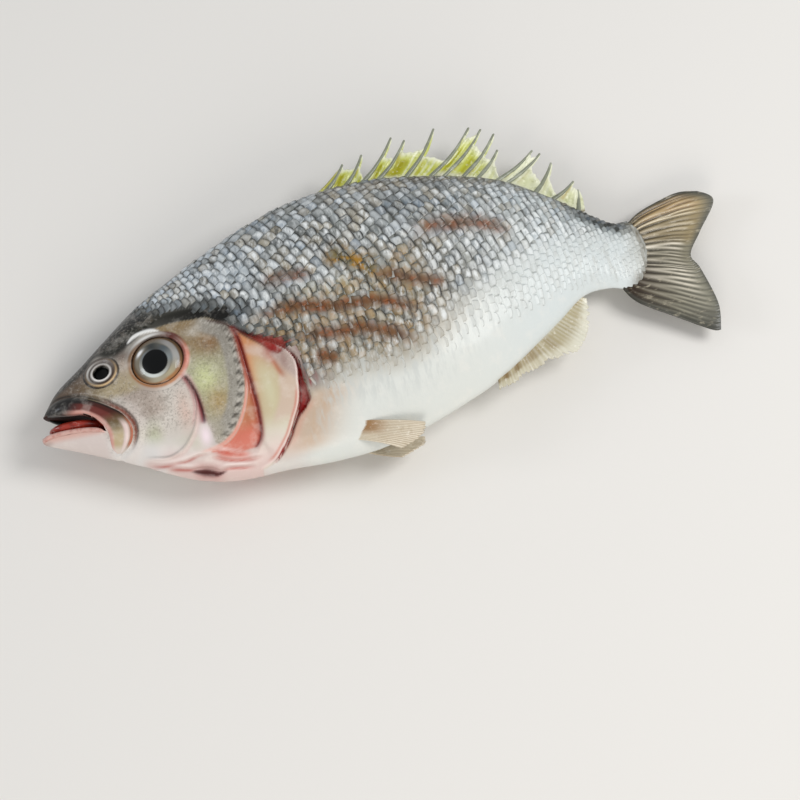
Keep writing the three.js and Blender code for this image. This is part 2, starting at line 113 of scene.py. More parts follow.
GILL_FLESH = [
    (122, -1.5), (128, -3.6), (132.5, -7), (134.5, -13), (133, -21), (130.5, -25), (127, -22),
    (122.5, -15), (119, -9),
]
BROW_BAND = [
    (37.7, 20), (45.6, 23.6), (55.5, 27.2), (63.8, 28.4), (73.8, 28.6), (83.4, 26.9), (92.7, 24.1),
    (101.9, 21.1), (110.9, 17.8), (116, 15.2), (112.7, 13), (106, 13.8), (100.4, 15.4), (91.4, 18.9),
    (84, 20.8), (76.2, 21.6), (70.4, 22), (62.4, 22.3), (53.9, 19.9), (46.1, 16), (40.1, 16.2),
]
CHEEK_EDGE = [
    (74.5, -3.5), (76.1, -7.4), (77.7, -11.6), (78.7, -17.6), (78.7, -23.7), (77.3, -29.2), (75, -34.3),
    (71.9, -38.1), (67.9, -41.4), (63.3, -42.9), (58.5, -43), (52.2, -41), (45.1, -37.9),
]
CRESCENT = [(76.1, -7.4), (78, -12.2), (79.7, -17.9), (80.4, -23.6), (80.6, -29.1), (79.9, -34.6)]
# The dark red line at the step of the hind gill cover's edge: red flesh deepened by painted shade.
RED_SHADE_LINE = [
    (104.5, 9), (105.8, 3.9), (106.3, -3.2), (106.6, -11.1), (107, -19.9), (107.3, -28.4), (107.1, -35.2),
    (106.4, -41.5), (105.2, -46.3), (101.5, -50),
]
THROAT_FOLDS = [
    [(43.4, -38.9), (50.2, -42.3), (57, -45), (66, -46.6), (74.2, -46.3), (81.7, -47)],
    [(55.5, -45.6), (61, -47.6), (68, -50.2), (74, -51.8)],
    [(77.3, -45.9), (82.9, -47), (88.2, -48.8), (94.4, -51.1), (99, -52)],
    [(77, -47.2), (83.9, -50.2), (89.2, -52.3), (97, -53.6), (106, -54)],
    [(80, -55.2), (86, -54.8), (93, -56), (101, -57.4)],
]
COVER_CREASE = [(117.6, -6), (119.4, -10), (121.6, -17.6), (124.6, -23.5)]
HEAD = [
    (-6, -10), (20, 20), (56, 46), (56, 41), (64, 34), (75, 30), (87, 27.4), (98, 23.5), (106, 16.6),
    (110, 13), (104, 11.6), *GILL_COVER[2:], (98, -68), (40, -50), (-6, -24),
]
THROAT_SLIT = [(67, -50.6), (72, -52), (77, -53.6), (81, -55.2), (86, -55.6)]
# The fold over the eye: a ridge with a painted highlight along it.
BROW_FOLD_GLINT = [(51.5, 18.3), (55.3, 21.2), (58.4, 22.2), (62.4, 22.4), (66.3, 21.6), (70.4, 19.6)]
SNOUT_TOP = [(1, -7), (9, 3), (19.2, 8.1), (28.1, 12.4), (34.3, 18), (42, 18), (50, 17.4), (58, 21)]
NAPE_EDGE = [(56, 41), (64, 34), (75, 30), (87, 27.4), (98, 23.5), (112, 17.5)]
PALE_EDGE = [
    (118, -38), (128, -34), (140, -29), (151, -25.5), (166, -24.5), (181, -24.5), (198, -19), (210, -11.5),
    (222, -4.5), (233, 1), (251, 9), (269, 15), (286, 17), (302, 16), (324, 14),
]

# ---- Mouth ----
MOUTH_ROOF = [(-8, 1), (5.5, -4), (13.6, -7.2), (22, -9.4), (27.8, -13.4), (31.7, -18.7)]
MOUTH_FLOOR = [(32.4, -22), (29.6, -20.6), (20, -17.2), (10, -15.4), (2.4, -14.6), (-8, -14)]
MOUTH_HOLLOW, MOUTH_DEEP = 2.4, 9.5  # how far the mouth widens inside, and from what depth on
MOUTH_REACH = LIE + 6  # how far the cut goes to both sides of the middle
# The lining's dark roof colour is painted shade inside the mouth.
LINING_FADE = -17.5, -13.5  # the heights of the lining's floor colour and roof colour
LIP_INNER = [
    (4.2, -3.2), (8.5, -5.4), (13.6, -7.2), (18, -8.5), (22, -9.5), (24.8, -10.9), (27.8, -13.4),
    (29.8, -15.6), (31.7, -18.7), (32.9, -21.9), (33.2, -24.7), (33, -27.6), (33.2, -30.2), (34.8, -32.4),
]
LIP_OUTER = [
    (6.4, 0.2), (12, 1.5), (18.9, 0.6), (23.7, -1.7), (28.3, -4.6), (32.8, -7.8), (37.1, -11.5),
    (41.3, -15.4), (43.9, -19.3), (45.5, -23.2), (45.3, -26.8), (43.5, -30), (40.6, -32.2), (37.2, -33.1),
]
LIP_PLUMP, LIP_SUNK = 2.0, 3.0
JAW_RIM = [
    (31.8, -22.4), (29.6, -20.6), (24.9, -18.7), (20, -17.4), (15, -16.4), (10, -15.6), (5.8, -15.2),
    (2.9, -15.3),
]
JAW_TIP = (1.5, -15.4)
TONGUE = {"at": (19.4, -13.4), "long": 15.0, "high": 3.8, "wide": 9.0, "tilt": -0.12}

# ---- Eye and nostril ----
EYE = {"at": (65.0, 4.4), "ball": 14.3, "bulge": 8.0, "sunk": 4.2}
SOCKET, SOCKET_DEEP, EYE_TALL = 13.7, 7.5, 0.95
EYE_RIM = [  # radius and lift of the fold of skin round the eye, from inside to outside
    (12.9, -5), (13.0, -2.4), (13.2, -0.2), (13.6, 0.75), (14.2, 1.1), (14.9, 0.95), (15.8, 0.5),
    (16.8, 0.12), (17.8, -0.6), (17, -3), (14.5, -5),
]
PUPIL_AT = (-1.3, -1.4)
NOSTRIL = {"at": (36.5, 8.0), "sunk": 1.2}
NOSTRIL_RIM = [
    (3.6, -3.6), (3.8, -1.4), (4.1, 0.2), (4.7, 0.85), (5.4, 0.6), (6.1, 0.2), (7.0, 0.75), (7.8, 1.15),
    (8.5, 0.7), (9.2, 0.1), (9.8, -0.4), (9.4, -2.6), (6, -3.6),
]
NOSTRIL_HOLE = [(0.8, -2.6), (2.4, -2.4), (4.4, -1.7), (4.4, -3), (2, -3.4)]  # radius and lift, from inside

# ---- Fins ----
# Each spine of the back fin: its foot, how far it leans back and rises, and the share of it that
# the web behind and the web before it reach up to.
SPINES = [
    (169.3, 12.4, 13.1, 0.95, 0), (180.1, 12.5, 15.4, 0.85, 0.66), (189.2, 20.6, 21.3, 0.72, 0.06),
    (197.4, 18.8, 19, 0.8, 0.62), (211.3, 21.5, 24.1, 0.55, 0.66), (224.1, 26.7, 23.2, 0.95, 0.4),
    (230.6, 26.1, 22.4, 0.85, 0.92), (240.3, 22.5, 20.9, 0.65, 0.6), (247.8, 14.5, 13.6, 0.85, 0.7),
    (257.8, 22.2, 13.2, 1, 0.05), (262.4, 21.1, 12.9, 0.7, 0.95), (275.5, 12.4, 14.7, 0.75, 0.35),
    (283.5, 13, 7.8, 1, 0.15), (294.5, 3, 11.5, 0, 1),
]
SPINE_TIP, SPINE_ROOT, WEB_SUNK = 0.6, 0.12, 1.5
TAIL_TOP = [(311, 24), (323, 33.4), (339, 38.9), (348.8, 40.6), (357.9, 38.9)]
TAIL_BOTTOM = [(303, 0), (309, -13), (327.5, -26.4), (342.8, -36.9), (347.7, -38.1)]
TAIL_ROOT = [(311, 24), (312, 12), (303, 0)]
TAIL_EDGE = [
    (357.9, 38.9), (364.9, 31.8), (353.5, 17.4), (344.5, 5.3), (347.2, -3.4), (350.4, -24.1),
    (347.7, -38.1),
]
ANAL_ROOT = [(229, -36), (240, -28.5), (252, -21.5), (265, -12.5), (279, -3.5)]
ANAL_EDGE = [(227.5, -45.5), (239.2, -42.6), (252, -36.4), (270.4, -33.4), (280.6, -21.2), (285.5, -7)]
SIDE_ROOT = [(146, -46.5, 10.5), (147, -54.5, 6.5)]
SIDE_TIP = [(186.5, -57, 11.5), (172, -66, 6)]
SIDE_BOW, SIDE_ROUND, SIDE_RAYS = 3, 4, 15

# ---- Scales ----
STRIPES = [  # brown-orange bands: their line, half their width and how strong they are
    ([(202, 35), (211, 39), (219, 40), (230, 40), (240, 38), (249, 34), (259, 31)], 4.4, 0.7),
    ([(122, 27), (130, 29.5), (138, 29), (146, 28), (153, 29)], 3.4, 0.6),
    ([(178, 21), (187, 17.5), (196, 13.5), (206, 10.8), (217, 8)], 3.0, 0.85),
    ([(115, 17.5), (124, 12), (134, 12.4), (143, 10.7), (155, 7.6), (168, 6.6), (181, 5), (192, 0),
      (206, -3)], 3.1, 1.0),
    ([(132, -3.5), (145, -4.4), (155, -6.4), (165, -6), (177, -10.2), (188, -15.2), (197, -18)], 3.2, 0.95),
    ([(140, -14.5), (147, -16.5), (153, -19)], 3.4, 1.0),
]
GOLD = [(158, 40), (161.9, 36.9), (165.5, 32.9), (173.4, 27.9), (178.7, 23.0), (184.4, 19.5)]
# The lines and areas that Flank measures from, by the names that it gives the distances.
LINES = {
    "cover": GILL_COVER, "panel_edge": PANEL_EDGE, "cheek": CHEEK_EDGE, "crescent": CRESCENT, "red": RED_SHADE_LINE,
    "throat": THROAT_SLIT, "bend": COVER_CREASE, "snout": SNOUT_TOP, "nape": NAPE_EDGE, "pale": PALE_EDGE,
    "fold": BROW_FOLD_GLINT, "lip": LIP_OUTER,
}
AREAS = {
    "panel": PANEL, "salmon": SALMON, "yellow": YELLOW, "groove": GILL_GROOVE, "flesh": GILL_FLESH,
    "brow": BROW_BAND, "head": HEAD,
}
FAR = 99.0  # stands for no limit
SCALES_FROM, SCALES_TO, TRUNK_END = 47.0, 350, 322.0  # along the fish
MIDLINE = 0.42  # the share up a section at which the scales' columns stand upright
# How large the scales are along the fish, against the largest.
SCALE_SIZES = [
    (48, 0.48), (75, 0.62), (105, 0.88), (135, 1.0), (210, 0.98), (245, 0.86), (268, 0.72), (295, 0.58),
    (326, 0.44),
]
# Tints of single scales: the colour, what a random number has to pass for it, and its strength.
SCALE_TINTS = [("#e3e9ec", 0.7, 0.45), ("#8899ab", 0.8, 0.4), ("#6b6d65", 0.7, 0.5), ("#b1a387", 0.8, 0.5)]


# ---- Colours ----
def linear(code):
    """The linear colour of an sRGB hex value, or of a colour that is linear already."""
    if not isinstance(code, str):
        return np.array(code[:3], float)
    srgb = np.array([int(code[i:i + 2], 16) for i in (1, 3, 5)]) / 255
    return np.where(srgb <= 0.04045, srgb / 12.92, ((srgb + 0.055) / 1.055) ** 2.4)


def rgba(code):
    return (*linear(code), 1.0)


class Paint:
    """Colours laid over each other on a set of spots."""

    def __init__(self, count, colour):
        self.colour = np.tile(linear(colour), (count, 1))

    def lay(self, colour, amount):
        share = np.clip(np.broadcast_to(amount, len(self.colour)), 0, 1)[:, None]
        self.colour = self.colour * (1 - share) + linear(colour) * share

    def lay_on(self, area, *layers):
        """Lays colours on one area, from pairs of a colour and an amount."""
        for colour, amount in layers:
            self.lay(colour, area * amount)


# ---- Curves and the trunk ----
def smooth(value, start, end):
    """Rises softly from 0 at start to 1 at end; with start above end it falls from 1 to 0 instead."""
    share = np.clip((value - start) / (end - start), 0, 1)
    return share * share * (3 - 2 * share)


def band(value, low, high, soft):
    """1 between low and high, and 0 further than soft outside."""
    return smooth(value, low - soft, low) * smooth(value, high + soft, high)


def hump(value, middle, wide, power=2):
    """1 at the middle, fading to 0 over wide on both sides; a higher power makes its top flatter."""
    return np.exp(-np.abs((value - middle) / wide) ** power)


def unit(way):
    return way / np.linalg.norm(way, axis=-1, keepdims=True)


def spread(values, share):
    """Values that lie evenly from 0 to 1, read at a share."""
    return np.interp(share, np.linspace(0, 1, len(values)), values)


def grid(rows, columns):
    """Shares from 0 to 1 down the rows and across the columns of a grid."""
    return np.meshgrid(np.linspace(0, 1, rows), np.linspace(0, 1, columns), indexing="ij")


def all_round(count):
    """Angles all round, in radians."""
    return np.linspace(0, 2 * np.pi, count + 1)[:-1]


def spline(rows, share):
    """Points of the smooth curve through rows, at shares from 0 to 1 along them."""
    rows = np.asarray(rows, float)
    last = len(rows) - 1
    at = np.clip(np.asarray(share, float), 0, 1) * last
    i = np.minimum(at.astype(int), last - 1)
    w = (at - i)[..., None]
    a, b = rows[np.maximum(i - 1, 0)], rows[i]
    c, d = rows[i + 1], rows[np.minimum(i + 2, last)]
    return b + w * (c - a) / 2 + w**2 * (a - 2.5 * b + 2 * c - d / 2) + w**3 * (1.5 * (b - c) + (d - a) / 2)


def curve(rows, count):
    return spline(rows, np.linspace(0, 1, count))


def backbone(x):
    return LIE - DROOP * smooth(np.asarray(x, float), DROOP_FROM, DROOP_TO)


def section(share, up):
    """The spots at shares along the fish and up its sections, and how far they are from the backbone."""
    row = spline(SECTIONS, share)
    up = np.asarray(up, float)
    spot = row[..., 2:4] + (row[..., :2] - row[..., 2:4]) * up[..., None]
    widest = row[..., 5]
    above = np.clip((up - widest) / (1 - widest), 0, 1)
    below = np.clip((widest - up) / widest, 0, 1)
    back = (1 - above ** BACK_ROUND[0]) ** (1 / BACK_ROUND[1])
    belly = (1 - below ** BELLY_ROUND[0]) ** (1 / BELLY_ROUND[1])
    return spot, row[..., 4] * np.where(up >= widest, back, belly)


def locate(x, y):
    """The shares along the fish and up its section of a spot on the flank; past 0 or 1 is off the fish."""
    x, y = np.broadcast_arrays(np.asarray(x, float), np.asarray(y, float))
    low, high = np.full(x.shape, 1e-4), np.ones(x.shape)
    for _ in range(HALVINGS):
        middle = (low + high) / 2
        row = spline(SECTIONS, middle)
        across = row[..., :2] - row[..., 2:4]
        before = across[..., 0] * (y - row[..., 3]) - across[..., 1] * (x - row[..., 2]) < 0
        low, high = np.where(before, middle, low), np.where(before, high, middle)
    row = spline(SECTIONS, low)
    across = row[..., :2] - row[..., 2:4]
    run = (x - row[..., 2]) * across[..., 0] + (y - row[..., 3]) * across[..., 1]
    return low, run / ((across**2).sum(-1) + 1e-9)


def flank(x, y):
    """Distance of the flank from the backbone plane."""
    return section(*locate(x, y))[1]


def on_flank(x, y, lift, side):
    x, y = np.asarray(x, float), np.asarray(y, float)
    return np.stack([x, y, backbone(x) + side * (flank(x, y) + lift)], -1)


def normal_at(x, y, side, step=3):
    """The outward direction of a flank at a spot."""
    x, y = np.asarray(x, float), np.asarray(y, float)
    slope_x = (flank(x + step, y) - flank(x - step, y)) / (2 * step)
    slope_y = (flank(x, y + step) - flank(x, y - step)) / (2 * step)
    return unit(np.stack([-slope_x, -slope_y, np.full(x.shape, float(side))], -1))


def near(line, spots):
    """Signed distance of each spot from a line, positive on its left, and the share along it."""
    points = curve(line, LINE_PIECES * (len(line) - 1) + 1)
    runs = np.diff(points, axis=0)
    lengths = np.linalg.norm(runs, axis=1)
    travelled = np.concatenate([[0], np.cumsum(lengths)])
    best, sign, share = np.full(len(spots), np.inf), np.ones(len(spots)), np.zeros(len(spots))
    for start, run, length, done in zip(points, runs, lengths, travelled):
        to = spots - start
        w = np.clip(to @ run / length**2, 0, 1)
        away = np.hypot(*(to - w[:, None] * run).T)
        closer = away < best
        best = np.where(closer, away, best)
        sign = np.where(closer, np.sign(run[0] * to[:, 1] - run[1] * to[:, 0]), sign)
        share = np.where(closer, (done + w * length) / travelled[-1], share)
    return best * sign, share


def within(outline, spots):
    """How far each spot is inside a closed outline, below 0 outside."""
    line = [*outline, outline[0]]
    away = np.abs(near(line, spots)[0])
    x, y = spots.T
    odd = np.zeros(len(spots), bool)
    points = curve(line, LINE_PIECES * (len(line) - 1) + 1)
    for (ax, ay), (bx, by) in zip(points[:-1], points[1:]):
        if ay != by:
            odd ^= ((ay > y) != (by > y)) & (x < ax + (y - ay) * (bx - ax) / (by - ay))
    return np.where(odd, away, -away)


# ---- Meshes ----
def metres(points):
    return (np.asarray(points, float) + SHIFT) / IN_MM


def in_scene(name, data):
    """A new object in the scene."""
    made = bpy.data.objects.new(name, data)
    bpy.context.scene.collection.objects.link(made)
    return made


def mesh_object(name, points, faces, materials, marks=None):
    """An object from points in millimetres; marks are numbers or colours kept on its points."""
    mesh = bpy.data.meshes.new(name)
    mesh.from_pydata(metres(points).tolist(), [], faces)
    for material in materials:
        mesh.materials.append(material)
    mark(mesh, marks or {})
    mesh.shade_smooth()
    return in_scene(name, mesh)


def mark(mesh, marks):
    for name, values in marks.items():
        values = np.asarray(values, np.float32)
        if values.ndim == 2:
            values = np.concatenate([values, np.ones((len(values), 1), np.float32)], 1)
            kind, slot = "FLOAT_COLOR", "color"
        else:
            kind, slot = "FLOAT", "value"
        if name in mesh.attributes:
            mesh.attributes.remove(mesh.attributes[name])
        mesh.attributes.new(name, kind, "POINT").data.foreach_set(slot, values.ravel())


def volume(points, faces):
    a, b, c = (points[faces[:, i]] for i in range(3))
    total = np.einsum("ij,ij->i", a, np.cross(b, c)).sum()
    if faces.shape[1] == 4:
        total += np.einsum("ij,ij->i", a, np.cross(c, points[faces[:, 3]])).sum()
    return total


def sheet_faces(ids):
    """The faces between a grid of points, and the points round its rim in order."""
    faces = np.stack([ids[:-1, :-1], ids[1:, :-1], ids[1:, 1:], ids[:-1, 1:]], -1).reshape(-1, 4)
    return faces, np.concatenate([ids[:-1, 0], ids[-1, :-1], ids[:0:-1, -1], ids[0, :0:-1]])


def tube_faces(ids):
    """The faces between rings of points."""
    after = np.roll(ids, -1, axis=1)
    return np.stack([ids[:-1], ids[1:], after[1:], after[:-1]], -1).reshape(-1, 4)


def plate(name, top, under, materials, marks):
    """A closed plate between two grids of points; marks are grids of values for its top and underside."""
    rows, columns = top.shape[:2]
    below = rows * columns
    quads, loop = sheet_faces(np.arange(below).reshape(rows, columns))
    after = np.roll(loop, -1)
    sides = np.stack([after, loop, loop + below, after + below], -1)
    faces = np.concatenate([quads, quads[:, ::-1] + below, sides])
    points = np.concatenate([top.reshape(-1, 3), under.reshape(-1, 3)])
    if volume(points, faces) < 0:
        faces = faces[:, ::-1]
    both = {key: np.concatenate([values.reshape(below, -1)] * 2).squeeze() for key, values in marks.items()}
    return mesh_object(name, points, faces.tolist(), materials, both)


def shell(name, rings, materials, marks=None, poles=None):
    """A closed surface over rings of points: capped by two poles, or else joined end to end."""
    count, around = rings.shape[:2]
    ids = np.arange(count * around).reshape(count, around)
    quads = tube_faces(ids if poles is not None else np.vstack([ids, ids[:1]]))
    points, caps = rings.reshape(-1, 3), []
    if poles is not None:
        points = np.concatenate([points, poles])
        first = count * around
        caps = [(first, a, b) for a, b in zip(ids[0], np.roll(ids[0], -1))]
        caps += [(first + 1, b, a) for a, b in zip(ids[-1], np.roll(ids[-1], -1))]
    if volume(points, quads) < 0:
        quads, caps = quads[:, ::-1], [face[::-1] for face in caps]
    return mesh_object(name, points, quads.tolist() + caps, materials, marks)


def join(name, parts):
    """One object from several, with their materials kept."""
    bpy.ops.object.select_all(action="DESELECT")
    for part in parts:
        part.select_set(True)
    bpy.context.view_layer.objects.active = parts[0]
    bpy.ops.object.join()
    parts[0].name = name
    return parts[0]


def settle(piece, slot, *nodes):
    """Ties a finished piece to the part: what it rides on and the nodes it stands for. Its finish, slot, is
    not used.
    """
    mesh = piece.data
    places = np.empty(len(mesh.vertices) * 3, np.float32)
    mesh.vertices.foreach_get("co", places)
    places = places.reshape(-1, 3)
    places[:, 2] = np.maximum(places[:, 2], TABLE_GAP / IN_MM)
    mesh.vertices.foreach_set("co", places.ravel())
    mesh.update()
    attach(piece, BODY)
    if nodes:
        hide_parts(*nodes)
    return piece


# ---- Nodes ----
def add(tree, kind, settings=None, links=None):
    """Adds a node, sets its properties, and gives its sockets values or other nodes' outputs."""
    made = tree.nodes.new(kind)
    for name, value in (settings or {}).items():
        setattr(made, name, value)
    for socket, value in (links or {}).items():
        if isinstance(value, bpy.types.NodeSocket):
            tree.links.new(value, made.inputs[socket])
        else:
            made.inputs[socket].default_value = value
    return made


def material_tree(name):
    material = bpy.data.materials.new(name)
    material.use_nodes = True
    material.node_tree.nodes.clear()
    return material, material.node_tree


def blotched(tree, colour, rows):
    """Blotches over a colour, one row over the other.

    A row holds the blotches' tint, their size in millimetres, the level of the noise at which they begin to
    show and the one at which they show in full, and how strong they are. It may end with how much closer
    together they lie along x, y and z.
    """
    place = add(tree, "ShaderNodeTexCoord").outputs["Object"]
    for tint, size, least, most, amount, *closer in rows:
        pressed = add(tree, "ShaderNodeVectorMath", {"operation": "MULTIPLY"}, {
            0: place, 1: closer[0] if closer else (1, 1, 1)})
        noise = add(tree, "ShaderNodeTexNoise", None, {
            "Vector": pressed.outputs[0], "Scale": IN_MM / size, "Detail": 3.0, "Roughness": 0.62})
        share = add(tree, "ShaderNodeMapRange", {"interpolation_type": "SMOOTHSTEP"}, {
            "Value": noise.outputs["Fac"], "From Min": least, "From Max": most})
        strength = add(tree, "ShaderNodeMath", {"operation": "MULTIPLY"}, {0: share.outputs[0], 1: amount})
        colour = add(tree, "ShaderNodeMix", {"data_type": "RGBA"}, {
            0: strength.outputs[0], 6: colour, 7: rgba(tint)}).outputs[2]
    return colour


def grained(tree, *grains):
    """Height in millimetres of a fine grain, from pairs of size and height."""
    place = add(tree, "ShaderNodeTexCoord").outputs["Object"]
    total = 0.0
    for size, height in grains:
        noise = add(tree, "ShaderNodeTexNoise", None, {
            "Vector": place, "Scale": IN_MM / size, "Detail": 2.0, "Roughness": 0.55})
        total = add(tree, "ShaderNodeMath", {"operation": "MULTIPLY_ADD"}, {
            0: noise.outputs["Fac"], 1: height, 2: total}).outputs[0]
    return total


def finish_shader(tree, colour, height=None, **shader):
    """The wet surface over a colour: its own sockets, and bumps from a height in millimetres."""
    body = add(tree, "ShaderNodeBsdfPrincipled", None, {
        "Base Color": colour, **{name.replace("_", " "): value for name, value in shader.items()}})
    if height is not None:
        bump = add(tree, "ShaderNodeBump", None, {"Strength": 1.0, "Distance": 1 / IN_MM, "Height": height})
        tree.links.new(bump.outputs[0], body.inputs["Normal"])
    add(tree, "ShaderNodeOutputMaterial", None, {"Surface": body.outputs[0]})


def skin_material():
    """Raw fish skin, thin and slimed: soft broad gloss, fine dark pigment specks and faint pores."""
    material, tree = material_tree("wet_fish_skin")
    colour, speck, belly = (
        add(tree, "ShaderNodeAttribute", {"attribute_name": name}).outputs[output]
        for name, output in (("paint", "Color"), ("speck", "Fac"), ("belly", "Fac")))
    faint, fine = (add(tree, "ShaderNodeMath", {"operation": "MULTIPLY"}, {0: speck, 1: share}).outputs[0]
                   for share in (0.3, 0.6))
    colour = blotched(tree, colour, [
        ("#efe9df", 7, 0.48, 0.75, 0.2), ("#c3c6c2", 4, 0.42, 0.66, belly, (1.5, 0.35, 0.5)),
        ("#75695b", 4, 0.5, 0.75, fine), ("#f1ebe0", 1.5, 0.48, 0.72, faint),
        ("#544b40", 1.1, 0.48, 0.68, fine)])
    finish_shader(tree, colour, grained(tree, (0.9, 0.05), (3.2, 0.15)), Roughness=0.4, IOR=1.4,
                  Specular_IOR_Level=0.35, Coat_Weight=0.22, Coat_Roughness=0.14)
    return material


def scale_material(colours):
    """A fish scale: clear horn over silver guanine, with dark pigment and painted shade at its hind edge, a
    painted shadow over its front and painted highlights over its middle.
    """
    material, tree = material_tree("silver_fish_scale")
    colour = add(tree, "ShaderNodeAttribute", {"attribute_name": "paint"}).outputs["Color"]
    shade, edge, gleam, dark, light, rust, gold, belly = (
        add(tree, "ShaderNodeAttribute", {"attribute_name": name}).outputs["Fac"]
        for name in ("shade", "edge", "gleam", "dark", "light", "rust", "gold", "belly"))
    blue, painted_sheen, orange, soot, glint, hind, brown = (
        add(tree, "ShaderNodeMath", {"operation": "MULTIPLY"}, {0: one, 1: other}).outputs[0]
        for one, other in ((dark, 0.3), (light, gleam), (rust, 0.75), (dark, 0.6), (light, 0.7), (edge, dark),
                           (rust, 0.35)))
    grey = add(tree, "ShaderNodeCombineColor", None, {0: shade, 1: shade, 2: shade}).outputs[0]
    colour = add(tree, "ShaderNodeMix", {"data_type": "RGBA", "blend_type": "MULTIPLY"}, {
        0: dark, 6: colour, 7: grey}).outputs[2]
    colour = blotched(tree, colour, [
        ("#c3c6c2", 4, 0.42, 0.66, belly, (1.5, 0.35, 0.5)), ("#8ea6bb", 14, 0.5, 0.7, blue),
        # The first row below lays painted highlights: white streaks over each scale's middle.
        ("#f4f7f6", 2.4, 0.36, 0.58, painted_sheen, (1, 0.4, 0.6)), ("#776941", 9, 0.28, 0.5, gold),
        (colours.gold, 5, 0.44, 0.58, gold), (colours.stripes, 6, 0.2, 0.46, rust),
        (colours.stripe_spots, 4, 0.5, 0.62, orange, (0.6, 1, 1)),
        ("#2c2e30", 2.4, 0.5, 0.74, soot, (1, 0.35, 0.6)),
        # Painted highlights: small white glints.
        ("#f4f6f4", 1.9, 0.52, 0.72, glint, (1, 0.4, 0.6))])
    # The dark hind rim, pigment with painted shade, and the painted shadow over each scale's front.
    for tint, amount in (("#1d1c18", hind), ("#6d4527", brown)):
        colour = add(tree, "ShaderNodeMix", {"data_type": "RGBA"}, {
            0: amount, 6: colour, 7: rgba(tint)}).outputs[2]
    finish_shader(tree, colour, grained(tree, (0.7, 0.06), (2.4, 0.12)), Roughness=0.4, IOR=1.42,
                  Specular_IOR_Level=0.4, Coat_Weight=0.2, Coat_Roughness=0.15)
    return material


def flesh_material(name, colour, dark):
    """Wet raw flesh: a smooth gloss over blotches of blood."""
    material, tree = material_tree(name)
    shown = blotched(tree, rgba(colour), [(dark, 3.5, 0.42, 0.7, 0.75), ("#f0d8cf", 2.0, 0.6, 0.75, 0.35)])
    finish_shader(tree, shown, grained(tree, (1.1, 0.12), (4.0, 0.25)), Roughness=0.28, IOR=1.4,
                  Coat_Weight=0.5, Coat_Roughness=0.08)
    return material


def lining_material():
    """The mouth's lining, a membrane: pinkish white on the floor, and on the roof a dark brown-red that is
    painted shade.
    """
    material, tree = material_tree("mouth_membrane")
    place = add(tree, "ShaderNodeTexCoord").outputs["Object"]
    height = add(tree, "ShaderNodeSeparateXYZ", None, {0: place}).outputs["Y"]
    low, high = (metres((0, y, 0))[1] for y in LINING_FADE)
    up = add(tree, "ShaderNodeMapRange", {"interpolation_type": "SMOOTHSTEP"}, {
        "Value": height, "From Min": low, "From Max": high}).outputs[0]
    # Painted shade: the roof is dark brown-red, the floor pinkish white.
    colour = add(tree, "ShaderNodeMix", {"data_type": "RGBA"}, {
        0: up, 6: rgba("#a8483a"), 7: rgba("#2c0803")}).outputs[2]
    colour = blotched(tree, colour, [("#5a1409", 4, 0.45, 0.7, 0.5)])
    finish_shader(tree, colour, grained(tree, (1.4, 0.15)), Roughness=0.45, IOR=1.4, Specular_IOR_Level=0.12,
                  Coat_Weight=0.04, Coat_Roughness=0.15)
    return material


def eye_material():
    """A fresh fish eye: black pupil and silver-grey iris, streaked outwards, under a wet cornea."""
    material, tree = material_tree("fish_eye_cornea")
    colour = add(tree, "ShaderNodeAttribute", {"attribute_name": "paint"}).outputs["Color"]
    finish_shader(tree, colour, None, Roughness=0.3, Specular_IOR_Level=0.1, Coat_Weight=0.7,
                  Coat_Roughness=0.02, Coat_IOR=1.33)
    return material


def dark_material():
    """The hollow of a nostril: almost black and wet."""
    material, tree = material_tree("nostril_hollow")
    finish_shader(tree, rgba("#050505"), None, Roughness=0.4, Specular_IOR_Level=0.2)
    return material


def fin_material(name, rough, *blotches):
    """Fin skin stretched between rays: thin, wet and half clear, coloured along the rays."""
    material, tree = material_tree(name)
    colour = add(tree, "ShaderNodeAttribute", {"attribute_name": "paint"}).outputs["Color"]
    colour = blotched(tree, colour, blotches)
    finish_shader(tree, colour, grained(tree, (0.8, 0.06), (2.5, 0.1)), Roughness=rough, IOR=1.4,
                  Specular_IOR_Level=0.35, Coat_Weight=0.3, Coat_Roughness=0.15)
    return material


def spine_material():
    """Fin spines: hard grey bone under a tight translucent skin."""
    material, tree = material_tree("fin_spine_bone")
    colour = blotched(tree, rgba("#878b78"), [("#c3c7b0", 8, 0.45, 0.7, 0.5), ("#5b5f4e", 6, 0.5, 0.75, 0.4)])
    finish_shader(tree, colour, grained(tree, (0.8, 0.05)), Roughness=0.35, IOR=1.45, Coat_Weight=0.3,
                  Coat_Roughness=0.15)
    return material


# ---- Geometry Nodes ----
def node_group(name, sockets):
    """An empty Geometry Nodes tree with a Geometry input and output and the named inputs."""
    tree = bpy.data.node_groups.new(name, "GeometryNodeTree")
    tree.interface.new_socket("Geometry", in_out="OUTPUT", socket_type="NodeSocketGeometry")
    for socket, kind in [("Geometry", "Geometry"), *sockets]:
        tree.interface.new_socket(socket, in_out="INPUT", socket_type="NodeSocket" + kind)
    return tree, add(tree, "NodeGroupInput")


def end_tree(tree, given, geometry):
    """Ends a tree with plain faces in the material that it is given."""
    real = add(tree, "GeometryNodeRealizeInstances", None, {"Geometry": geometry})
    done = add(tree, "GeometryNodeSetMaterial", None, {
        "Geometry": real.outputs[0], "Material": given.outputs["Material"]})
    add(tree, "NodeGroupOutput", None, {"Geometry": done.outputs[0]})
    return tree


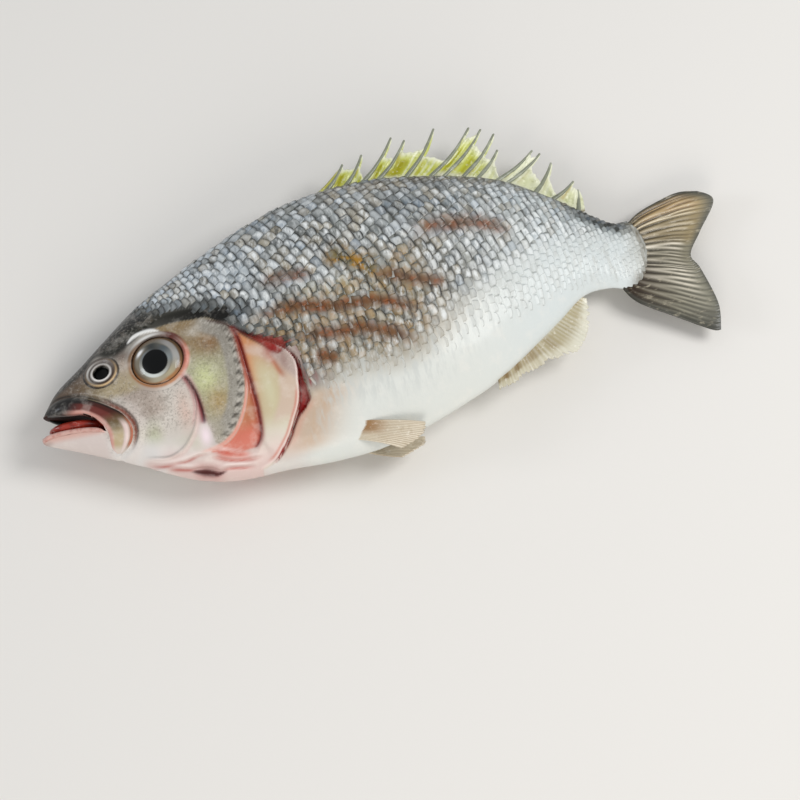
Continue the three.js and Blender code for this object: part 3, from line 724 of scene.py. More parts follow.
def scales_tree():
    """Sets a scale on each point, turned and sized as the point says, each a little lighter or darker."""
    tree, given = node_group("Scales on a flank", [
        ("Scale shape", "Object"), ("Material", "Material"), ("Shade variation", "Float"), ("Seed", "Int")])
    shape = add(tree, "GeometryNodeObjectInfo", None, {"Object": given.outputs["Scale shape"]})
    turn, size = (
        add(tree, "GeometryNodeInputNamedAttribute", {"data_type": kind}, {"Name": name}).outputs["Attribute"]
        for name, kind in (("turn", "QUATERNION"), ("size", "FLOAT_VECTOR")))
    copies = add(tree, "GeometryNodeInstanceOnPoints", None, {
        "Points": given.outputs["Geometry"], "Instance": shape.outputs["Geometry"], "Rotation": turn,
        "Scale": size})
    varied = given.outputs["Shade variation"]
    least, most = (
        add(tree, "ShaderNodeMath", {"operation": way}, {0: 1.0, 1: varied}).outputs[0]
        for way in ("SUBTRACT", "ADD"))
    chance = add(tree, "FunctionNodeRandomValue", {"data_type": "FLOAT"}, {
        2: least, 3: most, "Seed": given.outputs["Seed"]})
    shaded = add(tree, "GeometryNodeStoreNamedAttribute", {"data_type": "FLOAT", "domain": "INSTANCE"}, {
        "Geometry": copies.outputs[0], "Name": "shade", "Value": chance.outputs[1]})
    return end_tree(tree, given, shaded.outputs[0])


def rays_tree():
    """Tubes along the edges of a mesh, as thick as its points say."""
    tree, given = node_group("Rays along lines", [
        ("Material", "Material"), ("Thickness", "Float"), ("Sides", "Int")])
    lines = add(tree, "GeometryNodeMeshToCurve", None, {"Mesh": given.outputs["Geometry"]})
    thick = add(tree, "GeometryNodeInputNamedAttribute", {"data_type": "FLOAT"}, {"Name": "thick"})
    size = add(tree, "ShaderNodeMath", {"operation": "MULTIPLY"}, {
        0: thick.outputs["Attribute"], 1: given.outputs["Thickness"]})
    ring = add(tree, "GeometryNodeCurvePrimitiveCircle", None, {
        "Resolution": given.outputs["Sides"], "Radius": 1.0})
    tubes = add(tree, "GeometryNodeCurveToMesh", None, {
        "Curve": lines.outputs[0], "Profile Curve": ring.outputs[0], "Scale": size.outputs[0],
        "Fill Caps": True})
    return end_tree(tree, given, tubes.outputs[0])


def grow(name, mesh, tree, inputs, smooth_faces=True):
    """The plain mesh that a Geometry Nodes tree makes of a mesh, as an object."""
    made = in_scene(name, mesh)
    modifier = made.modifiers.new(name, "NODES")
    modifier.node_group = tree
    for socket in tree.interface.items_tree:
        if socket.in_out == "INPUT" and socket.name in inputs:
            modifier[socket.identifier] = inputs[socket.name]
    grown = plain_mesh(made)
    made.modifiers.remove(modifier)
    made.data = grown
    grown.name = name
    if not grown.polygons:
        raise RuntimeError(name + " grew no faces")
    if smooth_faces:
        grown.shade_smooth()
    return made


def rays(name, lines, material, sides):
    """Tubes along lines of (x, y, z, radius) points in millimetres."""
    mesh = bpy.data.meshes.new(name)
    points = np.concatenate(lines)
    edges, first = [], 0
    for line in lines:
        edges += [(first + i, first + i + 1) for i in range(len(line) - 1)]
        first += len(line)
    mesh.from_pydata(metres(points[:, :3]).tolist(), edges, [])
    mark(mesh, {"thick": points[:, 3] / IN_MM})
    return grow(name, mesh, rays_tree(), {"Material": material, "Thickness": 1.0, "Sides": sides})


# ---- The skin ----
class Flank:
    """Where each spot of the skin lies to the lines and areas on the flank.

    Each of LINES gives a distance, positive on its left, and a share along it, such as cover and cover_share.
    Each of AREAS gives how far inside it the spot is.
    """

    def __init__(self, spots):
        self.x, self.y = spots.T
        for name, line in LINES.items():
            away, share = near(line, spots)
            setattr(self, name, away)
            setattr(self, name + "_share", share)
        for name, outline in AREAS.items():
            setattr(self, name, within(outline, spots))
        self.behind = self.cover - np.interp(self.y, *np.array(GILL_OPEN).T)
        self.folds = [near(line, spots) for line in THROAT_FOLDS]
        self.wobble = (np.sin(1.1 * self.y + 0.6 * self.x) + 0.8 * np.sin(1.9 * self.y - 0.9 * self.x + 1)
                       + 0.6 * np.sin(3.3 * self.y + 1.4 * self.x + 2))
        self.up = locate(self.x, self.y)[1]
        self.eye, self.nostril = (polar(spots, organ["at"])[0] for organ in (EYE, NOSTRIL))
        self.on_head = smooth(self.head, -0.5, 0.4)
        self.on_jaw = self.on_head * smooth(self.x, 36, 29) * smooth(self.y, -13, -16)
        self.on_panel = smooth(self.panel, -0.35, 0.45)
        self.on_middle = smooth(self.salmon, -0.35, 0.4)
        self.on_flesh = smooth(self.flesh, -1.5, 2)

    def patch(self, x, y, wide, tall):
        """1 at a place, fading to 0 over wide along the fish and tall across it."""
        return hump(self.x, x, wide) * hump(self.y, y, tall)

    def slit(self):
        """1 in the gill opening, 0 on the skin."""
        ends = smooth(self.cover_share, 0.0, 0.1) * smooth(self.cover_share, 0.98, 0.86)
        ends = ends * (1 - 0.75 * smooth(self.y, -13, -6))
        return smooth(self.cover, -0.35, 0.45) * smooth(self.behind, 0.6, -0.5) * ends

    def past_cover(self):
        """How far each spot is behind the gill opening, far ahead of it too."""
        return np.where(self.x > 96, self.behind, FAR)


def polar(spots, centre):
    """Distance from a centre, in the eye's oval, and the direction in degrees."""
    x, y = spots[:, 0] - centre[0], (spots[:, 1] - centre[1]) / EYE_TALL
    return np.hypot(x, y), np.degrees(np.arctan2(y, x))


def fade(share, soft=0.35):
    """1 along a line, going softly to 0 at both ends; a larger soft takes more of the line."""
    return smooth(share, 0, 0.45 * soft) * smooth(share, 1, 1 - 0.45 * soft)


def relief(f):
    """Lift of the skin in millimetres: gill covers, folds and dishes."""
    lift = np.zeros(len(f.x))
    for away, share, proud, long in (
        (f.cheek, f.cheek_share, 1.2, 15), (f.panel_edge, f.panel_edge_share, 1.5, 16),
        (f.cover, f.cover_share, 2.3, 26),
    ):
        lift += proud * fade(share) * smooth(-away, -0.35, 0.45) * smooth(-away, long, 1)
        lift += 0.3 * fade(share) * hump(away, -1.0, 0.8)
    lift -= 3.2 * f.slit()
    lift -= 1.3 * smooth(f.groove, -0.6, 1.6)
    lift -= 1.0 * hump(f.red, 0, 0.9) * fade(f.red_share)
    lift -= 0.8 * smooth(f.salmon, -0.2, 1.2)
    lift += 0.09 * f.wobble * hump(f.panel_edge, -2.0, 1.3) * fade(f.panel_edge_share)
    lift -= 0.5 * smooth(f.brow, -0.5, 2) * smooth(f.x, 60, 85)
    lift += 0.7 * hump(f.fold, 0, 0.9) * fade(f.fold_share, 0.7)
    lift -= 0.5 * hump(f.bend, 0, 1.1) * fade(f.bend_share, 0.7)
    for away, share in f.folds:
        lift += fade(share, 0.6) * (0.35 * hump(away, 1.4, 1.0) - 0.6 * hump(away, 0, 0.7))
    opened = 0.4 + 1.1 * fade(f.throat_share, 1)
    lift -= 2.2 * hump(f.throat, 0, opened) * fade(f.throat_share, 0.8)
    lift -= 0.9 * hump(f.lip, 1.2, 1.0) * smooth(f.lip_share, 0.05, 0.3)
    lift += 0.6 * hump(f.lip, 3.4, 1.6) * smooth(f.lip_share, 0.2, 0.5) * smooth(f.lip_share, 0.95, 0.8)
    lift += 0.5 * f.patch(36, -4, 5, 5) + 0.8 * f.patch(55, -20, 12, 12) - 0.5 * f.patch(48, 24, 6, 6)
    # The dishes and holes of the eye and the nostril
    lift *= smooth(f.eye, 14, 17.5) * smooth(f.nostril, 7.5, 9.5)
    lift -= smooth(f.eye, 17.4, 15.2) + NOSTRIL["sunk"] * smooth(f.nostril, 9.6, 7.8)
    return lift - SOCKET_DEEP * smooth(f.eye, SOCKET + 0.5, SOCKET - 0.3) - 3 * smooth(f.nostril, 5.5, 4)


def trunk_colour(f, colours):
    """The colours of back, flank and belly, the same under the scales and on them."""
    paint = Paint(len(f.x), colours.belly)
    lay = paint.lay
    lay(colours.flank, smooth(f.pale, -3, 12))
    lay(colours.back, smooth(f.pale, 12, 40) * smooth(f.x, 300, 225))
    lay("#968a74", band(f.pale, 3, 34, 14) * smooth(f.x, 245, 195) * 0.75)
    lay("#d4dad9", smooth(f.x, 205, 275) * smooth(f.up, 0.88, 0.6))
    lay("#c6cfd0", smooth(f.x, 215, 285) * smooth(f.up, 0.62, 0.86) * 0.9)
    lay("#c6ced3", smooth(f.x, 140, 95) * smooth(f.pale, 10, 40))
    lay("#665a47", smooth(f.up, 0.88, 0.97) * smooth(f.x, 150, 180) * smooth(f.x, 270, 245) * 0.85)
    lay("#5d605b", smooth(f.up, 0.86, 0.97) * smooth(f.x, 235, 265) * 0.8)
    lay("#202421", smooth(f.up, 0.76, 0.88) * smooth(f.x, 276, 298))
    lay("#d6d2b4", hump(f.x, 162, 19) * hump(f.y + 0.3 * (f.x - 162), 15, 6) * 0.75)
    lay("#6f7270", f.patch(203, 56, 18, 9) * 0.6)
    lay("#6f7475", f.patch(105, 31, 12, 10) * 0.6)
    lay("#bfa68e", hump(f.past_cover(), 8, 12) * band(f.y, -53, -34, 6) * 0.95)
    lay("#8d7f7d", hump(f.past_cover(), 4, 7) * band(f.y, -26, -4, 7) * 0.75)
    # Painted shade: darker and browner towards the tail root and on its lower side, where the stalk rounds
    # off into the tail.
    lay("#aba697", smooth(f.x, 308, 319) * 0.5)
    lay("#6d6350", smooth(f.x, 316, 322) * 0.7)
    lay("#54462f", smooth(f.x, 306, 318) * smooth(f.up, 0.3, 0.08) * 0.85)
    return paint


def stripes_at(spots):
    """How much of a brown band lies on each spot."""
    rust = np.zeros(len(spots))
    for line, half, strength in STRIPES:
        away, share = near(line, spots)
        rust = np.maximum(rust, hump(away, 0, half) * fade(share, 0.6) * strength)
    return rust


def turned(at, middle, wide):
    """1 near a direction in degrees, fading to 0 over wide degrees."""
    return hump((at - middle + 180) % 360, 180, wide)


def colour_under_scales(paint, f, colours):
    """The skin that shows between the scales, painted dark as painted shade in the gaps, the bruised skin
    behind the gill opening and a painted shadow along the nape's edge.
    """
    trunk = 1 - f.on_head
    # Painted shade: the skin between the scales is darkened, with the brown bands kept on it.
    paint.lay_on(
        trunk * smooth(f.pale, 2, 12) * smooth(f.x, 318, 300),
        ("#3f403a", 0.85), (colours.stripes, stripes_at(np.column_stack([f.x, f.y])) * 0.8))
    behind = f.past_cover()
    streak = 0.5 + 0.5 * np.sin(2.3 * f.x + 0.3 * f.y) * np.sin(0.9 * f.x - 0.2 * f.y)
    paint.lay("#cf9c86", hump(behind, 1.6, 2.0) * band(f.y, -50, -38, 5) * 0.6)
    paint.lay("#8a3f3c", hump(behind, 3.0, 4) * band(f.y, -26, -2, 6) * streak**3)
    # A painted shadow along the nape's edge.
    paint.lay("#3c3832", trunk * hump(f.nape, -0.5, 2.6) * band(f.x, 62, 108, 8) * 0.9)


def colour_head(paint, f):
    """Nape, snout, brow, cheek and jaw."""
    paint.lay_on(
        f.on_head,
        ("#b8b1a7", 1),
        ("#bfbaa2", smooth(f.y, -20, -36) * band(f.x, 38, 74, 10)),
        ("#b9bf9f", f.patch(53, -33, 7.75, 5.48) * 0.6),
        ("#cfc7bd", band(f.x, 62, 80, 7) * band(f.y, -34, -12, 8)),
        ("#d6b5a6", f.patch(72.5, -25, 4, 9.49) * 0.7),
        ("#a0897b", band(f.x, 47, 60, 7) * band(f.y, -20, -8, 6) * 0.5),
        ("#a89877", band(f.x, 24, 50, 7) * band(f.y, -5, 3, 5) * 0.9),
        ("#56412f", smooth(f.x, 40, 22) * band(f.y, -2, 14, 5) * 0.9),
        ("#b9a898", f.patch(48, 8, 3.16, 6.32) * 0.8),
        ("#131415", smooth(f.snout, -2.5, 1.5) * smooth(f.x, 84, 62)),
        ("#6f7274", smooth(f.snout, 9, 17) * smooth(f.x, 84, 50) * 0.5),
        ("#1a0e0b", f.patch(46, 16.5, 6.78, 4.69) * 0.9),
        ("#6e5a50", f.patch(49, 12.5, 3.74, 2.24) * 0.6),
        ("#2e2f26", smooth(f.nape, -9, -1) * smooth(f.x, 58, 72) * 0.85))
    paint.lay("#1b1b12", smooth(f.brow, -2.5, 1.5) * 0.9)
    paint.lay("#0e0c07", smooth(f.brow, -3.5, 0.5) * smooth(f.x, 68, 92))
    paint.lay("#dedad6", f.on_head * smooth(f.up, 0.2, 0.08) * smooth(f.x, 100, 60))
    paint.lay_on(
        f.on_jaw,
        ("#d3c6c0", 1),
        # A painted shadow: grey at the jaw's tip.
        ("#77706c", smooth(f.x, 7, 2.5) * smooth(f.y, -21, -16) * 0.8),
        ("#d2a79a", smooth(f.y + 0.17 * f.x, -18.5, -15.5) * 0.8))


def colour_beside_lip(paint, f):
    """A dark crease along the upper lip, red at the corner of the mouth, and pale skin beyond it."""
    ends = smooth(f.lip_share, 0.95, 0.82)
    paint.lay("#ddd3cc", f.on_head * hump(f.lip, 4.5, 3.0) * smooth(f.lip_share, 0.45, 0.8) * 0.6)
    paint.lay("#86402c", hump(f.lip, 1.1, 1.1) * smooth(f.lip_share, 0.35, 0.6) * ends)
    paint.lay("#151110", hump(f.lip, 0.9, 0.8) * smooth(f.lip_share, 0.6, 0.4) * 0.9)
    paint.lay("#2f1c18", hump(f.lip, 2.3, 0.5) * smooth(f.lip_share, 0.3, 0.5) * ends * 0.7)


def colour_front_cover(paint, f):
    """The front gill cover: an olive and gold panel with a dark hind edge."""
    dark_edge = band(f.panel_edge, -3.4, -0.6, 1.2) * smooth(f.wobble, -0.6, 1.6)
    paint.lay_on(
        f.on_panel,
        ("#aaa58c", 1),
        ("#907a58", smooth(f.y, -6, 8)),
        ("#8a6744", f.patch(92, 5, 5.48, 6) * 0.8),
        ("#bdb7ab", f.patch(86, 14, 6.32, 3.16) * 0.6),
        ("#c9cd9a", f.patch(86, -12, 6.32, 8.37)),
        ("#a68c58", f.patch(89.5, -25, 6, 7.07) * 0.9),
        ("#aaa293", smooth(f.y, -28, -36) * 0.8),
        ("#98938a", band(f.panel_edge, -7, -1.4, 2.5) * smooth(f.x, 84, 92) * 0.9),
        ("#ccc5ba", band(f.panel_edge, -3.0, -0.6, 1.0) * smooth(-f.wobble, -0.2, 1.2) * 0.55),
        ("#2d2820", dark_edge * fade(f.panel_edge_share, 0.6) * 0.85))


def colour_cheek_edge(paint, f):
    """Behind the cheek's edge: a painted highlight line along it, a dark red crescent and a pale pink patch.
    """
    fading = band(f.crescent_share, 0.06, 0.9, 0.08)
    # A painted highlight along the cheek's edge.
    paint.lay("#dcc6bf", hump(f.cheek, 1.0, 1.0) * band(f.cheek_share, 0.1, 0.9, 0.1) * 0.8)
    paint.lay("#dda29d", hump(f.cheek, -0.8, 1.2) * band(f.y, -30, -8, 5) * 0.6)
    paint.lay("#8f3c40", hump(f.crescent, -0.6, 1.6) * fading)
    paint.lay("#33080b", hump(f.crescent, 0, 0.75) * fading)
    paint.lay("#f2e0e5", f.patch(79.3, -39, 3, 5.1))


def colour_middle_cover(paint, f):
    """The middle gill cover: salmon flesh behind the panel, with a painted highlight line along the panel's
    edge.
    """
    paint.lay_on(f.on_middle, ("#bb7a58", 1), ("#cf7460", smooth(f.y, -34, -44)))
    # A painted highlight along the panel's edge.
    paint.lay("#e09a88", hump(f.panel_edge, 0.5, 0.6) * band(f.panel_edge_share, 0.2, 0.95, 0.08))


def colour_hind_cover(paint, f):
    """The hind gill cover: pale yellow skin, whiter below and at its edge."""
    paint.lay_on(
        smooth(f.yellow, -0.3, 0.5),
        ("#c6b795", 1),
        ("#bf8257", smooth(f.y, -18, 2)),
        ("#cf9468", hump(f.red, 1.5, 2.6) * smooth(f.y, -36, -4) * 0.85),
        ("#cfc9a8", f.patch(115, -26, 3, 9.49) * 0.8),
        ("#dcd8c8", smooth(f.y, -34, -50)),
        ("#cfb7a8", band(f.cover, -8, -0.6, 3) * band(f.y, -38, -6, 6) * 0.75),
        ("#b0837a", f.patch(119, -9, 3.46, 5.1) * 0.7),
        ("#b06a4c", hump(f.bend, 0, 1.4) * fade(f.bend_share, 0.7) * 0.85))


def colour_groove(paint, f):
    """Grey-pink flesh behind the covers, the red groove over them and the dark red line between them, red
    flesh deepened by painted shade at the step of the hind cover's edge.
    """
    paint.lay("#b7a59e", f.on_flesh * 0.8)
    paint.lay("#8e6a62", f.patch(125, -14, 2.24, 5.48) * 0.6)
    paint.lay_on(smooth(f.groove, -1.0, 1.2), ("#6d2c1d", 1), ("#8f3228", smooth(f.x, 106, 118)))
    paint.lay("#8d1512", f.patch(121.5, -6.5, 3.46, 2.45))
    paint.lay("#1e0705", hump(f.groove, 0.3, 0.8) * smooth(f.x, 120, 108) * 0.8)
    # Red flesh deepened by painted shade along the step of the hind cover's edge.
    along = band(f.red_share, 0.02, 0.97, 0.05)
    paint.lay("#8e1806", hump(f.red, 0, 1.6) * along)
    paint.lay("#430d05", hump(f.red, 0, 0.6) * along * 0.7)
    paint.lay("#a0452a", hump(f.red, -1.7, 1.0) * fade(f.red_share, 0.6) * 0.5)


def colour_throat(paint, f):
    """Pink skin under the head with red folds and a deep slit."""
    throat = f.on_head * smooth(f.up, 0.16, 0.02) * band(f.x, 62, 112, 10)
    low = smooth(f.up, 0.14, 0.02) * band(f.x, 95, 118, 14) * (1 - 0.7 * smooth(f.x, 95, 108))
    paint.lay("#d8bfb8", np.maximum(throat, low) * (1 - 0.85 * f.on_middle))
    for away, share in f.folds:
        paint.lay("#b3574a", hump(away, 0, 0.7) * fade(share, 0.9) * 0.85)
        paint.lay("#ecddd7", hump(away, 1.5, 0.8) * fade(share, 0.9) * 0.7)
    paint.lay("#cc5f49", hump(f.x, 90, 8, 4) * hump(f.y + 0.25 * (f.x - 89), -49.6, 2.2) * 0.85)
    paint.lay("#a83c36", hump(f.throat, 0, 2.2) * fade(f.throat_share, 0.9) * 0.7)
    opened = 0.45 + 1.2 * fade(f.throat_share, 1) * (1 - 0.4 * smooth(f.throat_share, 0.5, 0.9))
    paint.lay("#3f0502", hump(f.throat, 0, opened, 4) * fade(f.throat_share, 0.4) * 0.97)
    paint.lay("#857f7a", hump(f.cheek, -0.6, 0.5) * fade(f.cheek_share, 0.5) * 0.6)


def colour_slit(paint, f):
    """The gill opening, red inside and darkest under the cover's edge with painted shade, with a painted
    highlight along that edge.
    """
    slit = f.slit()
    # A painted highlight along the cover's edge.
    paint.lay("#ecd6cf", hump(f.cover, -0.6, 0.5) * band(f.cover_share, 0.4, 0.95, 0.1) * 0.8)
    paint.lay("#cf8674", hump(f.cover, -1.5, 0.6) * band(f.cover_share, 0.62, 0.92, 0.06) * 0.8)
    paint.lay("#8f100d", smooth(slit, 0.05, 0.5))
    # Painted shade in the opening under the cover's edge.
    paint.lay("#3d0706", smooth(slit, 0.6, 1) * hump(f.cover, 0.5, 0.8) * 0.7)


def specks(f):
    """How specked the skin is: on snout and cheek, on the front gill cover and over the snout's top."""
    face = 0.65 * f.on_head * band(f.x, 22, 72, 8) * band(f.y, -28, 10, 8) * (1 - f.on_jaw)
    covers = 0.5 * np.maximum(f.on_panel, 0.5 * f.on_flesh)
    off_fold = 1 - smooth(f.fold, -2, -1) * smooth(-f.fold, -2, -1)
    top = 0.6 * f.on_head * smooth(f.snout, 0, 3) * off_fold
    return np.clip(np.maximum(np.maximum(face, covers) * (1 - f.slit()), top), 0, 1)


def skin_colour(f, colours):
    """What is painted on each spot of the skin, and how specked it is."""
    paint = trunk_colour(f, colours)
    colour_under_scales(paint, f, colours)
    for colour_area in (
        colour_head, colour_beside_lip, colour_front_cover, colour_cheek_edge, colour_middle_cover,
        colour_hind_cover, colour_groove, colour_throat, colour_slit,
    ):
        colour_area(paint, f)
    # A painted highlight along the brow fold, where the wet ridge catches the light.
    fold = fade(f.fold_share, 0.7)
    paint.lay("#f6f5f2", hump(f.fold, 0, 0.35 + 0.75 * fold, 4) * smooth(fold, 0, 0.3))
    return paint, specks(f)


def skin_grid():
    """Shares along the fish, and up its sections, close together on the head."""
    share = np.linspace(0, 1, 3001)
    middle = section(share, np.full(len(share), 0.5))[0]
    step = np.linalg.norm(np.diff(middle, axis=0), axis=1)
    wanted = np.interp(middle[1:, 0], [132, 150], [SKIN_STEP_HEAD, SKIN_STEP_TRUNK])
    travelled = np.concatenate([[0], np.cumsum(step / wanted)])
    along = np.interp(np.linspace(0, travelled[-1], int(travelled[-1]) + 1), travelled, share)
    w = np.linspace(0, 1, SKIN_HALF_RING + 1)
    return along, 0.5 * w + 0.25 * (1 - np.cos(np.pi * w))


def make_skin(materials):
    along, up = skin_grid()
    ups = np.concatenate([up, up[-2:0:-1]])
    side = np.concatenate([np.ones(len(up)), -np.ones(len(up) - 2)])
    spot, out = section(along[:, None] * np.ones(len(ups)), np.tile(ups, (len(along), 1)))
    ring = np.dstack([spot, backbone(spot[..., 0]) + side * out])
    run = np.gradient(ring, axis=0)
    round_ = np.roll(ring, -1, axis=1) - np.roll(ring, 1, axis=1)
    normal = np.cross(run, round_)
    normal /= np.linalg.norm(normal, axis=-1, keepdims=True) + 1e-12
    outward = np.sign((normal * (ring - ring.mean(1, keepdims=True))).sum((1, 2)))[:, None, None]
    normal *= np.where(outward == 0, 1, outward)
    lift = relief(Flank(spot.reshape(-1, 2))).reshape(spot.shape[:2])
    ring = ring + normal * lift[..., None]
    return shell("skin", ring[1:-1], materials, None, [ring[0, 0], ring[-1, 0]])


def face_ring(name, profile, centre, side, tint, colours, material, low=0.0):
    """A fold of skin round the eye or nostril, lying on the flank; low flattens it in front and below."""
    rows = curve(profile, 4 * len(profile))
    angle = all_round(160)
    x = centre[0] + rows[:, :1] * np.cos(angle)
    y = centre[1] + rows[:, :1] * np.sin(angle) * EYE_TALL
    spots = np.column_stack([x.ravel(), y.ravel()])
    paint, speck = skin_colour(Flank(spots), colours)
    tint(paint.lay, *polar(spots, centre))
    outer = np.repeat(smooth(rows[:, 0], rows[:, 0].max() - 1.5, rows[:, 0].max()), len(angle))
    flatter = 1 - low * turned(np.degrees(angle), 225, 80)
    lift = np.where(rows[:, 1:] > 0, rows[:, 1:] * flatter, rows[:, 1:])
    marks = {"paint": paint.colour, "speck": speck * outer}
    return shell(name, on_flank(x, y, lift, side), [material], marks)


def eye_rim_colour(lay, away, turn):
    """A thin brown rim below and in front, salmon behind, dark red above, and a painted white highlight over
    the brow.
    """
    lay("#9c6a42", hump(away, 14.1, 0.8) * turned(turn, 225, 105))
    lay("#b98055", smooth(away, 15.8, 14.6) * turned(turn, -62, 42))
    lay("#cf8270", smooth(away, 17.0, 15.6) * turned(turn, -12, 38))
    lay("#7d3c30", smooth(away, 15.0, 14.0) * turned(turn, 5, 34) * 0.8)
    lay("#5f2a22", smooth(away, 17.4, 16.2) * turned(turn, 50, 26))
    lay("#3a2c26", smooth(away, 14.8, 13.9) * turned(turn, 100, 36))
    # A painted highlight over the brow.
    lay("#f2f1ed", hump(away, 15.4, 1.0) * turned(turn, 102, 26))
    lay("#7a5f46", smooth(away, 15.8, 14.6) * turned(turn, 150, 26) * 0.85)
    lay("#3b1f12", smooth(away, 13.6, 13.2) * 0.9)


def nostril_rim_colour(lay, away, turn):
    """A pale lip round a black hole, brighter towards its lower left with a painted highlight, in a brown
    ring with a cream line and a dark edge.
    """
    lay("#43362c", smooth(away, 9.8, 9) * 0.95)
    lay("#4a2f18", band(away, 5.4, 7.0, 0.5) * turned(turn, -50, 70))
    lay("#6b615b", band(away, 5.6, 7, 0.6) * turned(turn, 60, 60))
    lay("#dcbb8c", hump(away, 7.8, 0.6) * turned(turn, -68, 76))
    lay("#c3c1bc", hump(away, 7.0, 0.55) * turned(turn, 155, 60) * 0.95)
    lay("#120c08", hump(away, 9.0, 0.5) * (0.6 + 0.4 * turned(turn, 180, 90)))
    lay("#120c08", hump(away, 5.8, 0.4) * turned(turn, -70, 90) * 0.8)
    # The pale lip, with a painted highlight towards its lower left.
    lay("#ece8e3", hump(away, 4.9, 0.6) * (0.45 + 0.55 * turned(turn, -110, 110)))
    lay("#050505", smooth(away, 4.3, 3.9))


def nostril_hole(side, material):
    """The dark hollow in the middle of a nostril."""
    x, y = NOSTRIL["at"]
    angle = all_round(48)
    radius, lift = (np.array(column)[:, None] for column in zip(*NOSTRIL_HOLE))
    rings = on_flank(x + radius * np.cos(angle), y + radius * np.sin(angle), lift, side)
    return shell("nostril_hole", rings, [material], None, [rings[0].mean(0), rings[-1].mean(0)])


def make_rims(colours, material, hollow):
    parts = []
    for side in (1, -1):
        parts += [
            face_ring("eye_rim", EYE_RIM, EYE["at"], side, eye_rim_colour, colours, material, 0.75),
            face_ring("nostril", NOSTRIL_RIM, NOSTRIL["at"], side, nostril_rim_colour, colours, material),
            nostril_hole(side, hollow)]
    return join("eye_and_nostril_rims", parts)


def mouth_cutter(material):
    """The room of the mouth: its opening carried through the head, and hollowed inside."""
    outline = np.concatenate([curve(MOUTH_ROOF, 31), curve(MOUTH_FLOOR, 27)])
    run = np.roll(outline, -1, axis=0) - np.roll(outline, 1, axis=0)
    outward = np.stack([-run[:, 1], run[:, 0]], -1) / np.linalg.norm(run, axis=1, keepdims=True)
    inside = smooth(outline[:, 0], 4, 16)[:, None]
    rings = []
    for off in np.linspace(-MOUTH_REACH, MOUTH_REACH, 33):
        hollow = MOUTH_HOLLOW * max(0.0, 1 - (off / MOUTH_DEEP) ** 2) ** 0.5
        spot = outline + outward * hollow * inside
        rings.append(np.column_stack([spot, np.full(len(spot), LIE + off)]))
    points = np.concatenate(rings)
    ids = np.arange(len(points)).reshape(-1, len(outline))
    quads = tube_faces(ids)
    bottom, top = ids[0].tolist(), ids[-1][::-1].tolist()
    if volume(points, quads) < 0:
        quads, bottom, top = quads[:, ::-1], bottom[::-1], top[::-1]
    return mesh_object("mouth_room", points, quads.tolist() + [bottom, top], [material])


def cut(piece, cutter):
    """Takes the cutter out of a piece; the cut faces keep the cutter's material."""
    modifier = piece.modifiers.new("cut", "BOOLEAN")
    modifier.operation, modifier.solver, modifier.object = "DIFFERENCE", "EXACT", cutter
    modifier.material_mode = "TRANSFER"
    made = plain_mesh(piece)
    piece.modifiers.remove(modifier)
    piece.data = made
    bpy.data.objects.remove(cutter)
    if len(made.materials) < 2:
        raise RuntimeError("the mouth wasn't cut")
    made.shade_smooth()


def places_of(mesh):
    """The points of a mesh in millimetres, in the fish's own frame."""
    places = np.empty(len(mesh.vertices) * 3)
    mesh.vertices.foreach_get("co", places)
    return places.reshape(-1, 3) * IN_MM - SHIFT


def plain_mesh(piece):
    """The mesh that a piece's modifiers make of it."""
    bpy.context.view_layer.update()
    graph = bpy.context.evaluated_depsgraph_get()
    return bpy.data.meshes.new_from_object(
        piece.evaluated_get(graph), preserve_all_data_layers=True, depsgraph=graph)


# ---- Mouth pieces ----
def lip_colour(across, along):
    """The upper lip's colours: slate at the snout, dark red in the middle, olive at the corner."""
    across, along = across.ravel(), along.ravel()
    paint = Paint(len(across), "#1b1918")
    lay = paint.lay
    lay("#461a12", smooth(along, 0.2, 0.42))
    lay("#6e3029", band(across, 0.2, 0.5, 0.15) * band(along, 0.3, 0.55, 0.15) * 0.8)
    lay("#6b5b3e", smooth(along, 0.5, 0.66))
    lay("#bdab88", smooth(along, 0.64, 0.8) * band(across, 0.15, 0.75, 0.12))
    lay("#1a1512", smooth(across, 0.78, 0.95) * smooth(along, 0.66, 0.5))
    # A painted highlight along the ridge of the lip's hind part.
    lay("#dfc9c2", smooth(along, 0.58, 0.7) * band(across, 0.66, 0.8, 0.08))
    lay("#b66a50", smooth(along, 0.56, 0.68) * smooth(across, 0.84, 0.93) * smooth(along, 0.95, 0.86))
    lay("#d29c90", smooth(across, 0.24, 0.08) * smooth(along, 0.12, 0.3))
    lay("#dccfc6", smooth(along, 0.86, 0.96) * 0.8)
    return paint.colour


def lip_lift(across, along):
    """How far the upper lip stands off the flank: plump, with a ridge and a hollow at its hind part."""
    arch = np.sin(np.pi * across)
    plump = LIP_PLUMP * arch**0.6 * (0.35 + 0.65 * smooth(along, 0, 0.12))
    ridge = 0.35 * hump(across, 0.72, 0.07) * smooth(along, 0.5, 0.7)
    hollow = 0.5 * band(across, 0.25, 0.55, 0.15) * smooth(along, 0.5, 0.75)
    lift = (plump + ridge - hollow) * (1 - 0.75 * smooth(along, 0.78, 1))
    return lift + 0.25 * smooth(along, 0.8, 1) * arch**0.3


def make_lips(material):
    parts = []
    across, along = grid(19, 101)
    inner, outer = spline(LIP_INNER, along), spline(LIP_OUTER, along)
    spot = inner + (outer - inner) * across[..., None]
    marks = {"paint": lip_colour(across, along).reshape(*across.shape, 3), "speck": 0 * across}
    for side in (1, -1):
        top, under = (on_flank(spot[..., 0], spot[..., 1], lift, side)
                      for lift in (lip_lift(across, along) - 0.1, -LIP_SUNK))
        parts.append(plate("upper_lip", top, under, [material], marks))
    return join("upper_lip", parts)


